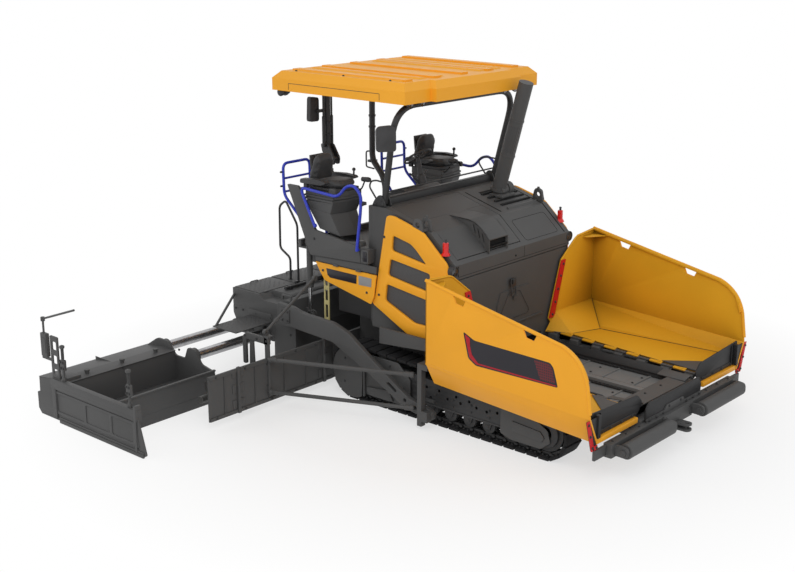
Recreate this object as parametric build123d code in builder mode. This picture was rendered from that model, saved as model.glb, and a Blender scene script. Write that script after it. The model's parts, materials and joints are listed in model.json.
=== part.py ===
import math
import os

from build123d import *

# Tracked asphalt paver. Millimetres, +X forward, +Y to the machine's left, +Z up.
# The origin is on the ground, under the middle of the machine's length and width.

# Driving dimensions
TRACK_REAR_RADIUS = 335
TRACK_FRONT_RADIUS = 285
TRACK_REAR_X = -660
TRACK_FRONT_X = 2020
TRACK_OUTER_Y = 1250
TRACK_WIDTH = 300
SHOE_COUNT = 49
SHOE_HEIGHT = 26
BELT_DEPTH = 46

WALL_X = 700
WING_REAR_X = 722
WING_FRONT_X = 2790
WING_Y = 1600
WING_PLATE = 20
WING_HINGE_Y = 680
WING_HINGE_Z = 660
WING_FALL = 0.048

HOOD_Y = 1080
HOOD_REAR_X = -520
HOOD_BASE_Z = 880
SKIN = 20
LID_REAR_X = -290
LID_INNER_Y = 160
LID_OUTER_Y = -990
LID_GAP = 7

DECK_Z = 1620
ROOF_SKIRT_Z = 3480
ROOF_EDGE_Z = 3610
ROOF_TOP_Z = 3700
ROOF_REAR_X = -1960
ROOF_FRONT_X = 80
ROOF_Y = 1200

ROLLER_X = 2960
ROLLER_Z = 340
ROLLER_RADIUS = 80
ROLLER_INNER_Y = 320
ROLLER_OUTER_Y = 1200

TOW_PIN_X = 600
TOW_PIN_Z = 160
TOW_PIN_RADIUS = 28
ARM_INNER_Y = 1330
ARM_OUTER_Y = 1390
PIN_GAP = 0.3

AUGER_X = -1400
AUGER_Z = 275
AUGER_RADIUS = 180
AUGER_PITCH = 360
AUGER_INNER_Y = 90
AUGER_OUTER_Y = 2930
BEARING_Y = 2120
FLIGHT_THICKNESS = 12

SCREED_Y = 1250
SCREED_FRONT_X = -1610
SCREED_REAR_X = -2730
SCREED_TOP_Z = 960
EXTENSION_INNER_Y = 2400
EXTENSION_OUTER_Y = 3925
EXTENSION_FRONT_X = -1760
EXTENSION_REAR_X = -3040
GATE_Y = 3960
GUIDE_RADIUS = 60
GUIDE_Z = 480
GUIDE_ROWS = (-2140, -2660)

LIFT_TOP = (-1490, 1715)
LIFT_EYE = (-1490, 815)
LIFT_Y = 1110
LIFT_PIN_RADIUS = 22

LIFTING_EYE_X = 210
LIFTING_EYE_Z = 2185
LIFTING_EYE_RADIUS = 30

SIDES = (("left", 1), ("right", -1))
DOWN_FROM_PIN = (Align.CENTER, Align.CENTER, Align.MIN)


def plate_xz(points, y_from, y_to, mode=Mode.ADD):
    middle = (y_from + y_to) / 2
    with BuildSketch(Plane(origin=(0, middle, 0), x_dir=(1, 0, 0), z_dir=(0, -1, 0))) as outline:
        with BuildLine():
            Polyline(*points, close=True)
        make_face()
    extrude(outline.sketch, amount=abs(y_to - y_from) / 2, both=True, mode=mode)


def plate_yz(points, x_from, x_to, mode=Mode.ADD):
    with BuildSketch(Plane.YZ.offset((x_from + x_to) / 2)) as outline:
        with BuildLine():
            Polyline(*points, close=True)
        make_face()
    extrude(outline.sketch, amount=abs(x_to - x_from) / 2, both=True, mode=mode)


def block(x_from, x_to, y_from, y_to, z_from, z_to, mode=Mode.ADD):
    middle = ((x_from + x_to) / 2, (y_from + y_to) / 2, (z_from + z_to) / 2)
    with Locations(middle):
        Box(abs(x_to - x_from), abs(y_to - y_from), abs(z_to - z_from), mode=mode)


def bar(start, end, radius, mode=Mode.ADD):
    run = Vector(*end) - Vector(*start)
    with Locations(Plane(origin=start, z_dir=run)):
        Cylinder(radius, run.length, align=DOWN_FROM_PIN, mode=mode)


def prism(start, end, radius, sides=8, mode=Mode.ADD):
    run = Vector(*end) - Vector(*start)
    with BuildSketch(Plane(origin=start, z_dir=run)) as section:
        RegularPolygon(radius, sides)
    extrude(section.sketch, amount=run.length, mode=mode)


def sloped_plate(corners, thickness):
    extrude(Face(Wire.make_polygon(corners, close=True)), amount=thickness / 2, both=True)


def rail(points, radius, sides=6):
    with BuildLine() as path:
        Polyline(*points)
    with BuildSketch(Plane(origin=points[0], z_dir=path.line % 0)) as section:
        RegularPolygon(radius, sides)
    sweep(section.sketch, path=path.line, transition=Transition.RIGHT)


def save(name, part):
    part.label = name
    export_step(part, f"parts/{name}.step")


os.makedirs("parts", exist_ok=True)


# Tracks: one closed loop a side round a large sprocket and a smaller idler, its shoes standing out
track_run = TRACK_FRONT_X - TRACK_REAR_X
track_fall = 2 * math.atan((TRACK_REAR_RADIUS - TRACK_FRONT_RADIUS) / track_run)
front_turn = TRACK_FRONT_RADIUS * (math.pi - track_fall)
rear_turn = TRACK_REAR_RADIUS * (math.pi + track_fall)
shoe_pitch = (2 * track_run + front_turn + rear_turn) / SHOE_COUNT


def on_wheel(x, radius, angle):
    return x + radius * math.sin(angle), radius * (1 - math.cos(angle)), math.degrees(angle)


def shoe_place(distance):
    if distance < track_run:
        return TRACK_REAR_X + distance, 0, 0
    distance -= track_run
    if distance < front_turn:
        return on_wheel(TRACK_FRONT_X, TRACK_FRONT_RADIUS, distance / TRACK_FRONT_RADIUS)
    distance -= front_turn
    top_angle = math.pi - track_fall
    if distance < track_run:
        x, z, degrees = on_wheel(TRACK_FRONT_X, TRACK_FRONT_RADIUS, top_angle)
        return x + distance * math.cos(top_angle), z + distance * math.sin(top_angle), degrees
    distance -= track_run
    return on_wheel(TRACK_REAR_X, TRACK_REAR_RADIUS, top_angle + distance / TRACK_REAR_RADIUS)


def belt_outline(plane, depth, sides):
    with BuildSketch(plane) as outline:
        with Locations((TRACK_REAR_X, TRACK_REAR_RADIUS)):
            RegularPolygon(TRACK_REAR_RADIUS - depth, sides, rotation=90)
        with Locations((TRACK_FRONT_X, TRACK_FRONT_RADIUS)):
            RegularPolygon(TRACK_FRONT_RADIUS - depth, sides, rotation=90)
        make_hull()
    return outline.sketch


for side_name, side in SIDES:
    middle_y = side * (TRACK_OUTER_Y - TRACK_WIDTH / 2)
    track_plane = Plane(origin=(0, middle_y, 0), x_dir=(1, 0, 0), z_dir=(0, -1, 0))
    with BuildPart() as track:
        with BuildSketch(track_plane) as shoes:
            for number in range(SHOE_COUNT):
                x, z, angle = shoe_place(number * shoe_pitch)
                with Locations(Location((x, z), angle)):
                    Rectangle(shoe_pitch - 18, SHOE_HEIGHT + 6, align=(Align.CENTER, Align.MIN))
        extrude(amount=TRACK_WIDTH / 2, both=True)
        extrude(belt_outline(track_plane, SHOE_HEIGHT, 24), amount=TRACK_WIDTH / 2, both=True)
        hollow = belt_outline(track_plane, SHOE_HEIGHT + BELT_DEPTH, 14)
        extrude(hollow, amount=TRACK_WIDTH / 2, both=True, mode=Mode.SUBTRACT)
    save(f"track_{side_name}", track.part)

# Track frames: side beam, sprocket, idler, lower rollers and the drive's round cover
WHEEL_INSET = SHOE_HEIGHT + BELT_DEPTH + 6
wheels = ((TRACK_REAR_X, TRACK_REAR_RADIUS), (TRACK_FRONT_X, TRACK_FRONT_RADIUS))
for side_name, side in SIDES:
    inner_y = side * (TRACK_OUTER_Y - TRACK_WIDTH + 30)
    outer_y = side * (TRACK_OUTER_Y - 30)
    cover_from = side * (TRACK_OUTER_Y + 8)
    cover_to = side * (TRACK_OUTER_Y + 24)
    with BuildPart() as track_frame:
        block(TRACK_REAR_X, TRACK_FRONT_X - 150, inner_y, outer_y - side * 40, 240, 430)
        block(TRACK_REAR_X + 300, TRACK_FRONT_X - 330, outer_y - side * 60, outer_y, 200, 400)
        for wheel_x, wheel_z in wheels:
            prism((wheel_x, inner_y, wheel_z), (wheel_x, outer_y, wheel_z), wheel_z - WHEEL_INSET, 14)
        for number in range(5):
            roller_x = TRACK_REAR_X + 400 + number * 420
            prism((roller_x, inner_y, 172), (roller_x, outer_y, 172), 88, 8)
        block(-500, 1500, side * 640, inner_y, 330, 430)
        drive = (TRACK_REAR_X, cover_from, TRACK_REAR_RADIUS)
        prism(drive, (TRACK_REAR_X, cover_to, TRACK_REAR_RADIUS), 308, 16)
        block(-490, 0, cover_from - side * 2, cover_to + side * 2, 0, 700, mode=Mode.SUBTRACT)
        prism((TRACK_REAR_X, outer_y - side * 20, TRACK_REAR_RADIUS), drive, 90, 8)
    save(f"track_frame_{side_name}", track_frame.part)

# Main frame: tunnel walls and roof round the conveyor, floor beams, skirts over the tracks
frame_side = [
    (-1120, 260),
    (2660, 260),
    (2660, 500),
    (WALL_X - SKIN, 500),
    (WALL_X - SKIN, 870),
    (655, 870),
    (655, 1100),
    (-498, 1100),
    (-498, 930),
    (-1120, 930),
]
with BuildPart() as main_frame:
    for side in (1, -1):
        plate_xz(frame_side, side * 600, side * 640)
        skirt = [(-250, 770), (640, 845), (640, 960), (-250, 960)]
        plate_xz(skirt, side * 1225, side * 1250)
        block(-250, 640, side * 640, side * 1250, 850, 876)
        block(500, 640, side * 1250, side * 1470, 700, 760)
        block(560, 640, side * 1225, side * 1250, 700, 860)
        block(500, 560, side * 1400, side * 1470, 40, 760)
        block(560, 640, side * 1400, side * 1470, 100, 220)
        pin_start = (TOW_PIN_X, side * 1300, TOW_PIN_Z)
        prism(pin_start, (TOW_PIN_X, side * 1470, TOW_PIN_Z), TOW_PIN_RADIUS, 8)
    block(-1120, 2660, -600, 600, 260, 280)
    block(-1120, WALL_X - 2 * SKIN - 5, -600, 600, 900, 930)
    block(HOOD_REAR_X + SKIN + 2, WALL_X - 2 * SKIN - 2, -1050, 1050, 1080, 1110)
save("main_frame", main_frame.part)

# Rear body under the operator's deck, with brackets for the lift cylinders and the tie rods
with BuildPart() as rear_body:
    body_side = [(-1120, 930), (-530, 930), (-530, 1510), (-1340, 1510), (-1340, 1400), (-1120, 1180)]
    lug_x, lug_z = LIFT_TOP
    plate_xz(body_side, -1000, 1000)
    block(-1380, -540, -1170, 1170, 1510, 1598)
    for side in (1, -1):
        block(lug_x - 45, -1370, side * 990, side * 1060, 1520, 1598)
        ear = [(lug_x - 45, 1530), (lug_x + 45, 1530), (lug_x + 45, 1740), (lug_x, 1770), (lug_x - 45, 1740)]
        plate_xz(ear, side * 1044, side * 1060)
        pin_start = (lug_x, side * 1050, lug_z)
        prism(pin_start, (lug_x, side * (LIFT_Y + 30), lug_z), LIFT_PIN_RADIUS, 8)
        block(-1340, -1280, side * 990, side * 1190, 1312, 1350)
save("rear_body", rear_body.part)

# Pale slotted strips that hang behind the tail panels
with BuildPart() as level_strips:
    for side in (1, -1):
        block(-1215, -1135, side * 1140, side * 1155, 760, 1505)
        block(-1195, -1155, side * 1135, side * 1160, 830, 1300, mode=Mode.SUBTRACT)
        block(-1190, -1160, side * 1001, side * 1140, 1400, 1440)
save("level_strips", level_strips.part)

with BuildPart() as engine_block:
    block(-400, 560, -420, 420, 1130, 1680)
save("engine_block", engine_block.part)

# Hood: one bent skin, its front corners cut back, with the lid taken out of its right half
hood_outline = [
    (HOOD_REAR_X, 935),
    (HOOD_REAR_X, 2290),
    (LID_REAR_X, 2290),
    (360, 2105),
    (WALL_X, 1800),
    (WALL_X, 1640),
    (WALL_X - SKIN, 1640),
    (WALL_X - SKIN, HOOD_BASE_Z),
    (HOOD_REAR_X + 10, HOOD_BASE_Z),
]
hood_hollow = [
    (HOOD_REAR_X + SKIN, HOOD_BASE_Z),
    (HOOD_REAR_X + SKIN, 2290 - SKIN),
    (LID_REAR_X, 2290 - SKIN),
    (360 - 8, 2105 - SKIN),
    (WALL_X - 2 * SKIN, 1800 - SKIN),
    (WALL_X - 2 * SKIN, HOOD_BASE_Z),
]
with BuildPart() as hood_skin:
    plate_xz(hood_outline, -HOOD_Y, HOOD_Y)
    plate_xz(hood_hollow, -HOOD_Y + SKIN, HOOD_Y - SKIN, mode=Mode.SUBTRACT)
    block(HOOD_REAR_X - 5, HOOD_REAR_X + SKIN + 5, -645, 645, 870, 935, mode=Mode.SUBTRACT)

lid_region = (LID_REAR_X, WALL_X - 2 * SKIN - 5, LID_OUTER_Y, LID_INNER_Y)
with BuildPart() as hood:
    add(hood_skin.part)
    block(*lid_region, 1750, 2400, mode=Mode.SUBTRACT)
save("hood", hood.part)

# Hood lid with its divided air scoop
SCOOP_FRONT_X = 640
with BuildPart() as hood_lid:
    add(hood_skin.part)
    block(
        LID_REAR_X + LID_GAP,
        lid_region[1] - LID_GAP,
        LID_OUTER_Y + LID_GAP,
        LID_INNER_Y - LID_GAP,
        1750 + LID_GAP,
        2400,
        mode=Mode.INTERSECT,
    )
    scoop_side = [(250, 2125), (380, 2115), (SCOOP_FRONT_X - 40, 1990), (SCOOP_FRONT_X, 1850), (360, 2085)]
    plate_xz(scoop_side, -440, -100)
    scoop_hollow = [(380, 2090), (SCOOP_FRONT_X - 50, 1980), (SCOOP_FRONT_X + 20, 1985), (SCOOP_FRONT_X + 20, 1860)]
    for y_from, y_to in ((-425, -280), (-260, -115)):
        plate_xz(scoop_hollow, y_from, y_to, mode=Mode.SUBTRACT)
save("hood_lid", hood_lid.part)

# Hopper back wall with its lip and service hatch, under the hood's front edge
with BuildPart() as front_wall:
    block(WALL_X - SKIN, WALL_X, -1040, 1040, 680, 1630)
    for side in (1, -1):
        block(WALL_X - SKIN, WALL_X, side * 560, side * 930, 535, 680)
    hatch = [(-330, 1180), (-270, 1330), (270, 1330), (330, 1180), (330, 900), (-330, 900)]
    plate_yz(hatch, WALL_X, WALL_X + 10)
    block(WALL_X + 10, WALL_X + 22, -40, 40, 1200, 1240)
save("front_wall", front_wall.part)

# Yellow side panels with three windows and a lifting eye, and the tail panel that runs back from each
for side_name, side in SIDES:
    with BuildPart() as side_panel:
        panel = [
            (-230, 2230),
            (-280, 2060),
            (-410, 1260),
            (-460, 1170),
            (60, 940),
            (290, 880),
            (640, 880),
            (650, 1700),
            (630, 1810),
            (290, 2120),
        ]
        plate_xz(panel, side * 1110, side * 1150)
        windows = (
            [(-130, 2010), (160, 1940), (350, 1790), (-160, 1840)],
            [(-170, 1740), (420, 1700), (400, 1420), (-210, 1480)],
            [(-220, 1380), (400, 1330), (380, 1080), (60, 1080), (-230, 1230)],
        )
        for window in windows:
            plate_xz(window, side * 1124, side * 1160, mode=Mode.SUBTRACT)
        eye = [(130, 2130), (290, 2100), (258, 2240), (210, 2258), (160, 2240)]
        plate_xz(eye, side * 1112, side * 1136)
        eye_start = (LIFTING_EYE_X, side * 1100, LIFTING_EYE_Z)
        bar(eye_start, (LIFTING_EYE_X, side * 1160, LIFTING_EYE_Z), LIFTING_EYE_RADIUS, mode=Mode.SUBTRACT)
    save(f"side_panel_{side_name}", side_panel.part)
    with BuildPart() as tail_panel:
        tail = [(-1330, 1500), (-1170, 1320), (-462, 1170), (-412, 1260), (-400, 1500)]
        plate_xz(tail, side * 1160, side * 1180)
    save(f"tail_panel_{side_name}", tail_panel.part)

# Operator's deck and its bulkhead, fender plates with a boxed front end
with BuildPart() as deck:
    block(-1340, -540, -1170, 1170, 1600, DECK_Z)
    block(-1740, -1340, -1040, 1040, 1600, DECK_Z)
    block(-560, -530, -1080, 1080, DECK_Z, 2290)
    block(-1740, -1700, -1040, 1040, DECK_Z, 1700)
save("deck", deck.part)

with BuildPart() as fenders:
    fender = [(-1740, 2400), (-1550, 2390), (-1290, 1910), (-560, 1820), (-540, 1630), (-1380, 1600)]
    for side in (1, -1):
        plate_xz(fender, side * 1175, side * 1215)
        block(-560, -450, side * 1100, side * 1215, 1640, 1810)
save("fenders", fenders.part)

# Consoles and seats: a faceted tub each side with a padded top, and a seat with arms behind it
for side_name, side in SIDES:
    with BuildPart() as console:
        tub = [(-1490, 2265), (-1010, 2285), (-1070, 2120), (-920, 1880), (-1250, 1920), (-1440, 2190)]
        plate_xz(tub, side * 740, side * 1168)
        block(-1200, -980, side * 780, side * 1060, DECK_Z, 1930)
        top = [(-1495, 2255), (-990, 2278), (-985, 2370), (-1495, 2370)]
        plate_xz(top, side * 720, side * 1172)
        block(-1110, -1000, side * 1133, side * 1168, 2365, 2420)
    save(f"console_{side_name}", console.part)
    with BuildPart() as operator_chair:
        block(-1440, -1010, side * 730, side * 1105, 2370.5, 2400)
        cushion = [(-1440, 2399), (-985, 2399), (-960, 2425), (-985, 2455), (-1440, 2445)]
        plate_xz(cushion, side * 730, side * 1130)
        chair_back = [(-1440, 2400), (-1370, 2430), (-1420, 2700), (-1455, 2760), (-1520, 2750), (-1490, 2580)]
        plate_xz(chair_back, side * 735, side * 1125)
        for arm_y in (655, 1145):
            block(-1520, -1130, side * arm_y, side * (arm_y + 58), 2440, 2492)
            block(-1480, -1430, side * (arm_y + 5), side * (arm_y + 50), 2371, 2442)
        block(-1480, -1430, side * 700, side * 740, 2371, 2442)
        block(-1480, -1430, side * 1120, side * 1152, 2371, 2442)
    save(f"operator_chair_{side_name}", operator_chair.part)

# Steering console on a post behind the bulkhead
with BuildPart() as control_console:
    block(-860, -700, -160, 160, DECK_Z, 2200)
    desk = [(-980, 2200), (-640, 2280), (-640, 2400), (-720, 2430), (-980, 2280)]
    plate_xz(desk, -420, 420)
    prism((-960, 0, 2290), (-1010, 0, 2440), 25)
    prism((-1000, 0, 2430), (-1014, 0, 2460), 170, 10)
save("control_console", control_console.part)

# Blue hand rails over the fenders and round the back of the deck
with BuildPart() as hand_rails:
    for side in (1, -1):
        y = side * 1235
        fender_rail = [
            (-1262, y, 1955),
            (-1495, y, 2400),
            (-890, y, 2360),
            (-770, y, 2480),
            (-680, y, 2520),
            (-570, y, 2480),
            (-530, y, 2350),
            (-605, y, 1780),
        ]
        rail(fender_rail, 17)
        for foot_x, foot_z in ((-1272, 1975), (-605, 1790)):
            block(foot_x - 20, foot_x + 20, side * 1215, side * 1235, foot_z - 15, foot_z + 15)
        y_out = side * 1090
        y_in = side * 650
        rear_rail = [
            (-1500, y_out, 1855),
            (-1920, y_out, 2220),
            (-1930, y_out, 2590),
            (-1930, y_in, 2590),
            (-1920, y_in, 2220),
            (-1650, y_in, 1640),
        ]
        rail(rear_rail, 17)
        prism((-1921, y_out, 2280), (-1921, y_in, 2280), 15, 6)
        block(-1520, -1480, y_out, side * 1174, 1838, 1868)
        block(-1675, -1625, y_in - 25, y_in + 25, DECK_Z, 1645)
save("hand_rails", hand_rails.part)

# Roof with its posts, front hoop and the leaning exhaust pillar
with BuildPart() as roof:
    roof_plan = [
        (ROOF_REAR_X, -ROOF_Y),
        (ROOF_FRONT_X, -ROOF_Y),
        (ROOF_FRONT_X, -770),
        (160, -770),
        (160, 770),
        (ROOF_FRONT_X, 770),
        (ROOF_FRONT_X, ROOF_Y),
        (ROOF_REAR_X, ROOF_Y),
    ]
    with BuildSketch(Plane.XY.offset(ROOF_SKIRT_Z)) as skirt_plan:
        with BuildLine():
            Polyline(*roof_plan, close=True)
        make_face()
    extrude(amount=ROOF_TOP_Z - ROOF_SKIRT_Z)
    chamfer(roof.faces().sort_by(Axis.Z)[-1].edges(), length=80)
    inner_x = (ROOF_REAR_X + 40, ROOF_FRONT_X - 40)
    block(*inner_x, -ROOF_Y + 40, ROOF_Y - 40, ROOF_SKIRT_Z, ROOF_EDGE_Z + 10, mode=Mode.SUBTRACT)
    for rib_y in (-960, -480, 0, 480, 960):
        block(ROOF_REAR_X + 160, ROOF_FRONT_X - 150, rib_y - 60, rib_y + 60, ROOF_TOP_Z, ROOF_TOP_Z + 20)
save("roof", roof.part)

with BuildPart() as roof_posts:
    for side in (1, -1):
        y = side * 400
        post = [(-1640, y, DECK_Z), (-1640, y, 2150), (-1690, y, 2280), (-1840, y, 2440), (-1860, y, 2520)]
        rail(post + [(-1860, y, ROOF_EDGE_Z + 10)], 38)
        prism((-1800, y - side * 60, 2420), (-1800, y - side * 60, ROOF_EDGE_Z + 10), 12, 6)
        block(-1850, -1790, y - side * 70, y, 2420, 2450)
save("roof_posts", roof_posts.part)

with BuildPart() as roof_hoop:
    hoop = [
        (-390, -1000, 2330),
        (-150, -1070, 3230),
        (-140, -1045, 3330),
        (-140, -960, 3405),
        (-140, -860, 3425),
        (-140, 860, 3425),
        (-140, 960, 3405),
        (-140, 1045, 3330),
        (-150, 1070, 3230),
        (-390, 1000, 2330),
    ]
    rail(hoop, 36)
    for y in (-500, 500):
        block(-165, -115, y - 30, y + 30, 3440, ROOF_EDGE_Z + 10)
    for side in (1, -1):
        foot = [(-500, 2291), (-320, 2291), (-350, 2360), (-410, 2400), (-470, 2360)]
        plate_xz(foot, side * 940, side * 1060)
save("roof_hoop", roof_hoop.part)

with BuildPart() as exhaust_pillar:
    prism((-50, 650, 2235), (330, 650, 3610), 88, 10)
    block(-250, 500, 540, 760, 3579, 3700, mode=Mode.SUBTRACT)
    block(-250, 500, 540, 760, 2100, 2255, mode=Mode.SUBTRACT)
save("exhaust_pillar", exhaust_pillar.part)

# Conveyor and the hopper's fixed floor
with BuildPart() as conveyor:
    for lane in (1, -1):
        block(-1080, 2600, lane * 40, lane * 540, 470, 484)
        for number in range(6):
            slat_x = 800 + number * 270
            block(slat_x, slat_x + 30, lane * 60, lane * 520, 484, 510)
    block(-1080, 2600, -40, 40, 470, 530)
    prism((-1040, -599, 400), (-1040, 599, 400), 66)
save("conveyor", conveyor.part)


def on_hinge(x, side):
    return (x, side * WING_HINGE_Y, WING_HINGE_Z - (x - WING_REAR_X) * WING_FALL)


LUG_COUNT = 7
LUG_PITCH = 300
FIRST_LUG_X = 770
with BuildPart() as hopper_floor:
    for side in (1, -1):
        guard = [(548, 500), (640, 500), (640, 530), (574, 530), (600, 594), (586, 600), (548, 522)]
        plate_yz([(side * y, z) for y, z in guard], WALL_X + 15, 2460)
        block(2450, 2680, side * 548, side * 640, 500, 530)
        for number in range(LUG_COUNT):
            lug_x = FIRST_LUG_X + number * LUG_PITCH
            low = on_hinge(lug_x, side)[2] - 24
            lug = [
                (side * 612, 525),
                (side * 612, low + 18),
                (side * (WING_HINGE_Y + 22), low + 18),
                (side * (WING_HINGE_Y + 22), low - 20),
                (side * 634, 525),
            ]
            plate_yz(lug, lug_x, lug_x + 110)
        for number in (0, LUG_COUNT - 2):
            pin_x = FIRST_LUG_X + number * LUG_PITCH
            prism(on_hinge(pin_x + 60, side), on_hinge(pin_x + 200, side), 12, 8)
save("hopper_floor", hopper_floor.part)

with BuildPart() as conveyor_cover:
    block(2465, 2700, -566, 566, 545, 557)
    for side in (1, -1):
        block(2470, 2670, side * 552, side * 566, 530, 557)
save("conveyor_cover", conveyor_cover.part)

# Hopper wings: side wall with a folded top, lower skirt, floor with a sloped fold, and rear plate
BEND_REAR_Z = 850
BEND_FRONT_Z = 745
HINGE_KNUCKLE = 150
for side_name, side in SIDES:
    with BuildPart() as wing:
        wall = [
            (WING_REAR_X, BEND_REAR_Z),
            (WING_FRONT_X, BEND_FRONT_Z),
            (2745, 1090),
            (2715, 1180),
            (2660, 1270),
            (2600, 1335),
            (2540, 1385),
            (2460, 1420),
            (WING_REAR_X, 1762),
        ]
        plate_xz(wall, side * (WING_Y - WING_PLATE), side * WING_Y)
        flange = [
            (WING_REAR_X, 1770),
            (2465, 1432),
            (2580, 1374),
            (2674, 1278),
            (2760, 1090),
            (2730, 1085),
            (2646, 1262),
            (2562, 1350),
            (2457, 1405),
            (WING_REAR_X, 1742),
        ]
        plate_xz(flange, side * (WING_Y - 45), side * (WING_Y - WING_PLATE))
        for notch_x in (1100, 1990):
            notch_z = 1762 - (notch_x - WING_REAR_X) * 0.196
            notch = [
                (notch_x, notch_z - 30),
                (notch_x + 140, notch_z - 57),
                (notch_x + 120, notch_z - 90),
                (notch_x + 30, notch_z - 72),
            ]
            plate_xz(notch, side * (WING_Y - WING_PLATE - 5), side * (WING_Y + 5), mode=Mode.SUBTRACT)
        skirt_sections = []
        for section_x, bend, foot in ((WING_REAR_X, BEND_REAR_Z, 580), (WING_FRONT_X, BEND_FRONT_Z, 450)):
            with BuildSketch(Plane.YZ.offset(section_x)) as skirt_section:
                with BuildLine():
                    Polyline(
                        (side * WING_Y, bend + 1),
                        (side * 1450, foot),
                        (side * (1450 - 15), foot + 16),
                        (side * (WING_Y - 25), bend + 1),
                        close=True,
                    )
                make_face()
            skirt_sections.append(skirt_section.sketch)
        loft(sections=skirt_sections)
        fold_sections = []
        for section_x, fold_y, outer_y, rise in ((WING_REAR_X, 1140, WING_Y - 5, 190), (WING_FRONT_X - 60, 1480, 1532, 72)):
            low = on_hinge(section_x, side)[2]
            with BuildSketch(Plane.YZ.offset(section_x)) as fold_section:
                with BuildLine():
                    Polyline(
                        (side * outer_y, low + rise),
                        (side * fold_y, low + 34),
                        (side * (WING_HINGE_Y + 36), low + 30),
                        (side * (WING_HINGE_Y + 36), low + 12),
                        (side * fold_y, low + 14),
                        (side * outer_y, low + rise - 20),
                        close=True,
                    )
                make_face()
            fold_sections.append(fold_section.sketch)
        loft(sections=fold_sections)
        rear_plate = [
            (side * WING_Y, 840),
            (side * WING_Y, 1770),
            (side * 1220, 1740),
            (side * 870, 1490),
            (side * 650, 820),
            (side * 760, WING_HINGE_Z + 25),
            (side * 1300, WING_HINGE_Z + 35),
        ]
        plate_yz(rear_plate, WING_REAR_X, WING_REAR_X + 15)
        corner_fold = [(WING_REAR_X + 12, side * 840, 985), (1045, side * 745, 665), (WING_REAR_X + 12, side * 1585, 845)]
        sloped_plate(corner_fold, 12)
        end_plate = [(720, 480), (720, 590), (1300, 600), (1530, 640), (1462, 480)]
        plate_yz([(side * y, z) for y, z in end_plate], WING_FRONT_X - 75, WING_FRONT_X - 58)
        block(WING_FRONT_X - 70, WING_FRONT_X - 5, side * 680, side * 1440, 445, 505)
        for number in range(LUG_COUNT - 1):
            knuckle_x = FIRST_LUG_X + 130 + number * LUG_PITCH
            knuckle_end = knuckle_x + HINGE_KNUCKLE
            low = on_hinge(knuckle_x + HINGE_KNUCKLE / 2, side)[2]
            knuckle = [
                (WING_HINGE_Y - 24, low - 22),
                (WING_HINGE_Y - 24, low + 22),
                (WING_HINGE_Y + 50, low + 28),
                (WING_HINGE_Y + 50, low + 10),
                (WING_HINGE_Y + 20, low - 22),
            ]
            plate_yz([(side * y, z) for y, z in knuckle], knuckle_x, knuckle_end)
        for number in (0, LUG_COUNT - 2):
            pin_x = FIRST_LUG_X + 125 + number * LUG_PITCH
            bar(on_hinge(pin_x, side), on_hinge(pin_x + 90, side), 12 + PIN_GAP, mode=Mode.SUBTRACT)
    save(f"wing_{side_name}", wing.part)
    with BuildPart() as wing_strip:
        strip = [(side * 870, 1490), (side * 965, 1490), (side * 760, 820), (side * 650, 820)]
        plate_yz(strip, WING_REAR_X + 15, WING_REAR_X + 27)
    save(f"wing_strip_{side_name}", wing_strip.part)
    with BuildPart() as wing_flap:
        flap = [(1500, 770), (640, 722), (562, 640), (562, 600), (660, 507), (1445, 507)]
        plate_yz([(side * y, z) for y, z in flap], WING_FRONT_X - 57, WING_FRONT_X - 41)
        block(WING_FRONT_X - 41, WING_FRONT_X - 20, side * 1425, side * 1447, 512, 752)
    save(f"wing_flap_{side_name}", wing_flap.part)

# Push beam with its tow hook, rollers, yellow bars and the centre flap
HOOK_X = 2990
HOOK_Z = 240
with BuildPart() as push_beam:
    block(2660, 2780, -620, 620, 280, 440)
    block(2760, 2860, -1290, 1290, 265, 415)
    for side in (1, -1):
        for y in (ROLLER_INNER_Y - 40, ROLLER_OUTER_Y + 12):
            block(2840, ROLLER_X + 45, side * y, side * (y + 28), 290, 390)
        axle_start = (ROLLER_X, side * (ROLLER_INNER_Y - 40), ROLLER_Z)
        prism(axle_start, (ROLLER_X, side * (ROLLER_OUTER_Y + 40), ROLLER_Z), 20, 8)
        block(2770, 2800, side * 1290, side * 1500, 290, 400)
    for z in (205, 265):
        block(2780, HOOK_X + 35, -60, 60, z, z + 22)
        bar((HOOK_X - 10, 0, z - 5), (HOOK_X - 10, 0, z + 30), 20, mode=Mode.SUBTRACT)
    block(2780, 2860, -60, 60, 205, 300)
    clamp = [(-570, 410), (570, 410), (570, 452), (210, 452), (170, 500), (-170, 500), (-210, 452), (-570, 452)]
    plate_yz(clamp, 2809, 2821)
save("push_beam", push_beam.part)

for side_name, side in SIDES:
    with BuildPart() as push_roller:
        start = (ROLLER_X, side * ROLLER_INNER_Y, ROLLER_Z)
        end = (ROLLER_X, side * ROLLER_OUTER_Y, ROLLER_Z)
        prism(start, end, ROLLER_RADIUS, 12)
        bar(start, end, 20 + PIN_GAP, mode=Mode.SUBTRACT)
    save(f"push_roller_{side_name}", push_roller.part)

with BuildPart() as centre_flap:
    plate_yz([(-575, 416), (575, 416), (575, 560), (520, 618), (-520, 618), (-575, 560)], 2793, 2809)
save("centre_flap", centre_flap.part)

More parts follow.
